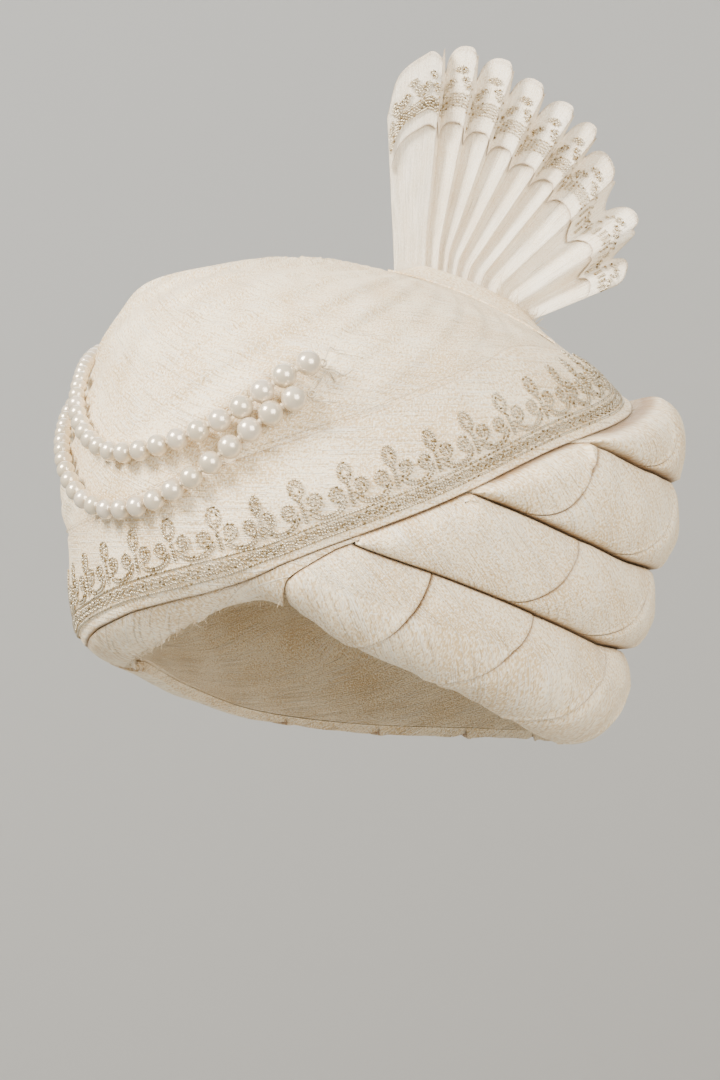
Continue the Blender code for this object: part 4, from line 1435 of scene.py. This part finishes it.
def make_lip(silk):
    """The soft swell of crown cloth in front of the fan's root, level with the crown along its front."""
    reach = FAN_RADIUS * (FAN_RIDGES[-1][2] + 0.10)

    def lay(u, v, out):
        side = blend(FAN_RADIUS * FAN_PANEL[0][2] - 0.003, reach, u)
        point = fan_point(side, 0.0, PLEAT_DEPTH / 2 * (PLEAT_FOOT + 0.2) + 0.0012 + 0.026 * (1 - v))
        point[..., 2] = crown_height_at(point[..., 0], point[..., 1]) + out
        return point

    def outer(u, v):
        ends = smooth(u / 0.25) * smooth((1 - u) / 0.25)
        swell = smooth(v / 0.85) * np.sqrt(np.clip((1 - v) / 0.06, 0, 1)) ** 0.5
        return lay(u, v, 0.0062 * ends * np.clip(swell, 0.0, 1.0) - 0.0001)

    # Painted shade where the lip meets the fan's root.
    def wear_and_painted_shade(u, v):
        return 0.3 * hump(1 - v, 0.03)

    lip = cloth("fan_lip_cloth", outer, lambda u, v: lay(u, v, -0.0009), 70, 40,
                lambda u, v: stack(u * 0.06, v * 0.026), silk, False, wear_and_painted_shade)
    belong(lip, "fan_silk", "fan_lip")


# The pearls

def strand_route(route, steps=80):
    """Close points on the crown along a strand, with the way out of the crown at each."""
    rows = [(index, turn, height) for index, (turn, height) in enumerate(route)]
    place = np.linspace(0, len(route) - 1, (len(route) - 1) * steps)
    turn = between(rows, place, 1)
    height = between(rows, place, 2)
    points = spot(turn, height, PEARL_SEAT)
    return points, unit(spot(turn, height, 2 * PEARL_SEAT) - points)


class MakePearls(bpy.types.Operator):
    """Make the two graded strands of pearls on their threads, replacing their solids"""
    bl_idname = "turban.make_pearls"
    bl_label = "Pearls"

    def execute(self, context):
        nacre = stuff("lacquered_pearl", shell_pearl, colours().pearl[:], linear("#E9D9C6"))
        thread = sewing_thread()
        for name, route in (("upper", UPPER_STRAND), ("lower", LOWER_STRAND)):
            points, out = strand_route(route)
            lengths = run_along(points)
            whole = lengths[-1]
            start = 0.0
            places = []
            while True:
                size = blend(LARGE_PEARL, SMALL_PEARL, min(start / (GRADED * whole), 1.0))
                if start + size > whole:
                    break
                places.append((start + size / 2, size))
                start += size
            places = np.array(places)
            middle = read_at(places[:, 0], lengths, points)
            facing = unit(read_at(places[:, 0], lengths, out))
            course = np.gradient(middle, axis=0)
            centres = middle + facing * places[:, 1:] / 2
            girth = places[:, 1:] * (0.985, 1.0, 1.0)
            ball = bead(sizes().pearl_segments, 14)
            pearls = copies(f"pearls_{name}", ball, centres, course, facing, girth, nacre)
            belong(pearls, "pearl", f"pearl_strand_{name}")
            knots = (centres[:-1] + centres[1:]) / 2
            small = np.repeat(places[:-1, 1:], 3, axis=1) * (0.16, 0.26, 0.26)
            tie = bead(8, 6)
            tied = copies(f"pearl_knots_{name}", tie, knots, course[:-1], facing[:-1], small, thread)
            belong(tied, "pearl")
        return {"FINISHED"}


# Loose threads

def lying(places, out):
    """Points on the crown from rows of turn and height, lifted by out."""
    rows = np.asarray(places, dtype=float)
    return spot(rows[:, 0], rows[:, 1], out)


def fibres(chance, count, root, length):
    """Short bent fibres. Root gives for each a point and the way it leans."""
    routes = []
    for _ in range(count):
        point, way = root()
        reach = length * chance.uniform(0.4, 1.0)
        bend = chance.normal(0.0, 0.35, 3)
        share = np.linspace(0, 1, 6)[:, None]
        routes.append(point + unit(way) * reach * share + bend * reach * share ** 2)
    return routes


class MakeThreads(bpy.types.Operator):
    """Make the pearls' knot and thread ends, the line of stitches over the band, the frays and the tuft"""
    bl_idname = "turban.make_threads"
    bl_label = "Loose threads"

    def execute(self, context):
        thread = sewing_thread()
        fibre = stuff("raw_fibre", spun_thread, linear("#E9DABB"), linear("#B0925E"))
        chance = np.random.default_rng(7)
        # Two loose ends and a knot for each strand: turn, height, degrees ahead and climb.
        share = np.linspace(0, 1, 14)
        ends = []
        for turn, height, ahead, climb in ((36.4, 0.0895, 5.0, 0.006), (36.0, 0.0885, 6.5, -0.003),
                                           (34.6, 0.0780, 4.5, 0.008), (34.2, 0.0765, 5.5, -0.002)):
            places = stack(turn + ahead * share, height + climb * np.sin(share * 2.6))
            ends.append(lying(places, PEARL_SEAT + 0.0012 + 0.0015 * np.sin(share * 9.0 + turn)))
        loop = np.linspace(0, 4 * math.pi, 40)
        for turn, height in ((36.3, 0.0893), (34.3, 0.0775)):
            places = stack(turn + 0.75 * np.cos(loop), height + 0.0013 * np.sin(loop))
            ends.append(lying(places, PEARL_SEAT + 0.0016 + 0.0004 * np.cos(loop / 2)))
        belong(strands("pearl_thread_ends", ends, 0.0006, thread, 5), "pearl")
        seam = []
        for turn in np.arange(-52.0, 74.0, 1.3):
            along = turn + 0.95 * np.linspace(0, 1, 4)
            seam.append(spot(along, crease_height(along) + 0.0022, 0.00075))
        belong(strands("crease_stitches", seam, 0.0004, fibre, 4), "band_silk")

        def torn():
            turn = chance.uniform(-50.0, PEAK_TURN + 3.0)
            point = wall(turn, roll_end(turn) + 0.0006, TIER_SEAT + ROLL_THICK - 0.0004)
            return point, chance.normal((0, 0, -0.3), 0.8, 3)

        belong(strands("torn_edge_fibres", fibres(chance, 240, torn, 0.0034), 0.00022, fibre, 3), "roll_silk")

        def tufted():
            side = FAN_RADIUS * FAN_RIDGES[-1][2] + chance.uniform(-0.013, 0.004)
            point = fan_point(side, 0.0, 0.0025 + chance.uniform(0.0, 0.006))
            point[2] = crown_height_at(point[0], point[1]) + 0.0008
            return point, chance.normal((0.4, -0.5, 0.5), 0.5, 3)

        belong(strands("fan_root_tuft", fibres(chance, 260, tufted, 0.0085), 0.00026, fibre, 3), "fan_silk")
        return {"FINISHED"}


# The stage

class MakeStage(bpy.types.Operator):
    """Make the pale studio cove, its soft lights and the camera"""
    bl_idname = "turban.make_stage"
    bl_label = "Stage"

    def execute(self, context):
        floor = -2.1
        radius = 4.8
        curve = 1.0
        wall_top = 3.2
        steps = np.linspace(0, math.pi / 2, 16)
        profile = [(0.001, floor)]
        profile += [(radius - curve * (1 - math.sin(step)), floor + curve * (1 - math.cos(step)))
                    for step in steps]
        profile.append((radius, wall_top))
        mesh = bpy.data.meshes.new("studio_cove")
        cove = bpy.data.objects.new("studio_cove", mesh)
        context.scene.collection.objects.link(cove)
        model = bmesh.new()
        verts = [model.verts.new((reach, 0.0, height)) for reach, height in profile]
        edges = [model.edges.new(pair) for pair in zip(verts, verts[1:])]
        bmesh.ops.spin(model, geom=verts + edges, cent=(0, 0, 0), axis=(0, 0, 1), angle=2 * math.pi, steps=96,
                       use_merge=True)
        bmesh.ops.remove_doubles(model, verts=model.verts, dist=0.002)
        bmesh.ops.recalc_face_normals(model, faces=model.faces)
        model.to_mesh(mesh)
        model.free()
        mesh.materials.append(stuff("studio_emulsion", painted_board, colours().stage[:]))
        mesh.shade_smooth()
        make_lights()
        make_camera()
        return {"FINISHED"}


# The lights: azimuth and height in degrees, distance and size in metres, and power in watts.
LIGHTS = (
    # name, azimuth, height, distance, size, watts
    ("key_window", -20.0, 36.0, 1.7, 0.65, 76.0),
    ("fill_board", 64.0, 14.0, 2.1, 1.3, 72.0),
    ("top_scrim", 20.0, 82.0, 1.8, 1.6, 2.0),
    ("rear_scrim", 215.0, 40.0, 2.2, 1.6, 22.0),
)


def make_lights():
    world = bpy.data.worlds.new("studio_air")
    world.use_nodes = True
    sky = world.node_tree.nodes["Background"]
    sky.inputs["Color"].default_value = (*linear("#E9EBEE"), 1.0)
    sky.inputs["Strength"].default_value = 0.96
    bpy.context.scene.world = world
    for name, azimuth, height, distance, size, watts in LIGHTS:
        lamp = bpy.data.lights.new(name, "AREA")
        lamp.size = size
        lamp.energy = watts
        lamp.color = linear("#FFF9F0")
        holder = bpy.data.objects.new(name, lamp)
        turn = math.radians(azimuth)
        tilt = math.radians(height)
        place = np.array((math.sin(turn) * math.cos(tilt), -math.cos(turn) * math.cos(tilt), math.sin(tilt)))
        holder.location = place * distance + (0, 0, 0.05)
        holder.rotation_euler = (math.pi / 2 - tilt, 0.0, turn)
        bpy.context.scene.collection.objects.link(holder)


def make_camera():
    """The photograph's view: level, from the wearer's left front, with the lens set by a known size."""
    azimuth = math.radians(VIEW_AZIMUTH)
    distance = 1.5
    aside = 0.00255
    height = 0.02125
    lens = bpy.data.cameras.new("view")
    lens.sensor_fit = "HORIZONTAL"
    lens.sensor_width = 36.0
    lens.lens = 176.47
    lens.clip_end = 20.0
    camera = bpy.data.objects.new("view", lens)
    camera.location = (aside * math.cos(azimuth) + distance * math.sin(azimuth),
                       aside * math.sin(azimuth) - distance * math.cos(azimuth), height)
    camera.rotation_euler = (math.pi / 2, 0.0, azimuth)
    bpy.context.scene.collection.objects.link(camera)
    bpy.context.scene.camera = camera


class TurbanPanel(bpy.types.Panel):
    """Lists the turban's pieces, sizes and colours"""
    bl_idname = "VIEW3D_PT_turban"
    bl_label = "Tied turban"
    bl_space_type = "VIEW_3D"
    bl_region_type = "UI"
    bl_category = "Turban"

    def draw(self, context):
        for operator in OPERATORS:
            self.layout.operator(operator.bl_idname)
        for group in (context.scene.turban_sizes, context.scene.turban_colours):
            for key in group.__annotations__:
                self.layout.prop(group, key)


OPERATORS = (MakeCrown, MakeBand, MakeEmbroidery, MakeRoll, MakeTiers, MakeFan, MakePearls, MakeThreads,
             MakeStage)
CLASSES = (TurbanSizes, TurbanColours) + OPERATORS + (TurbanPanel,)


def register():
    for item in CLASSES:
        bpy.utils.register_class(item)
    bpy.types.Scene.turban_sizes = PointerProperty(type=TurbanSizes)
    bpy.types.Scene.turban_colours = PointerProperty(type=TurbanColours)


def unregister():
    del bpy.types.Scene.turban_colours
    del bpy.types.Scene.turban_sizes
    for item in reversed(CLASSES):
        bpy.utils.unregister_class(item)


def main():
    register()
    bpy.ops.turban.make_crown()
    bpy.ops.turban.make_band()
    bpy.ops.turban.make_embroidery()
    bpy.ops.turban.make_roll()
    bpy.ops.turban.make_tiers()
    bpy.ops.turban.make_fan()
    bpy.ops.turban.make_pearls()
    bpy.ops.turban.make_threads()
    bpy.ops.turban.make_stage()


if __name__ == "__main__":
    main()
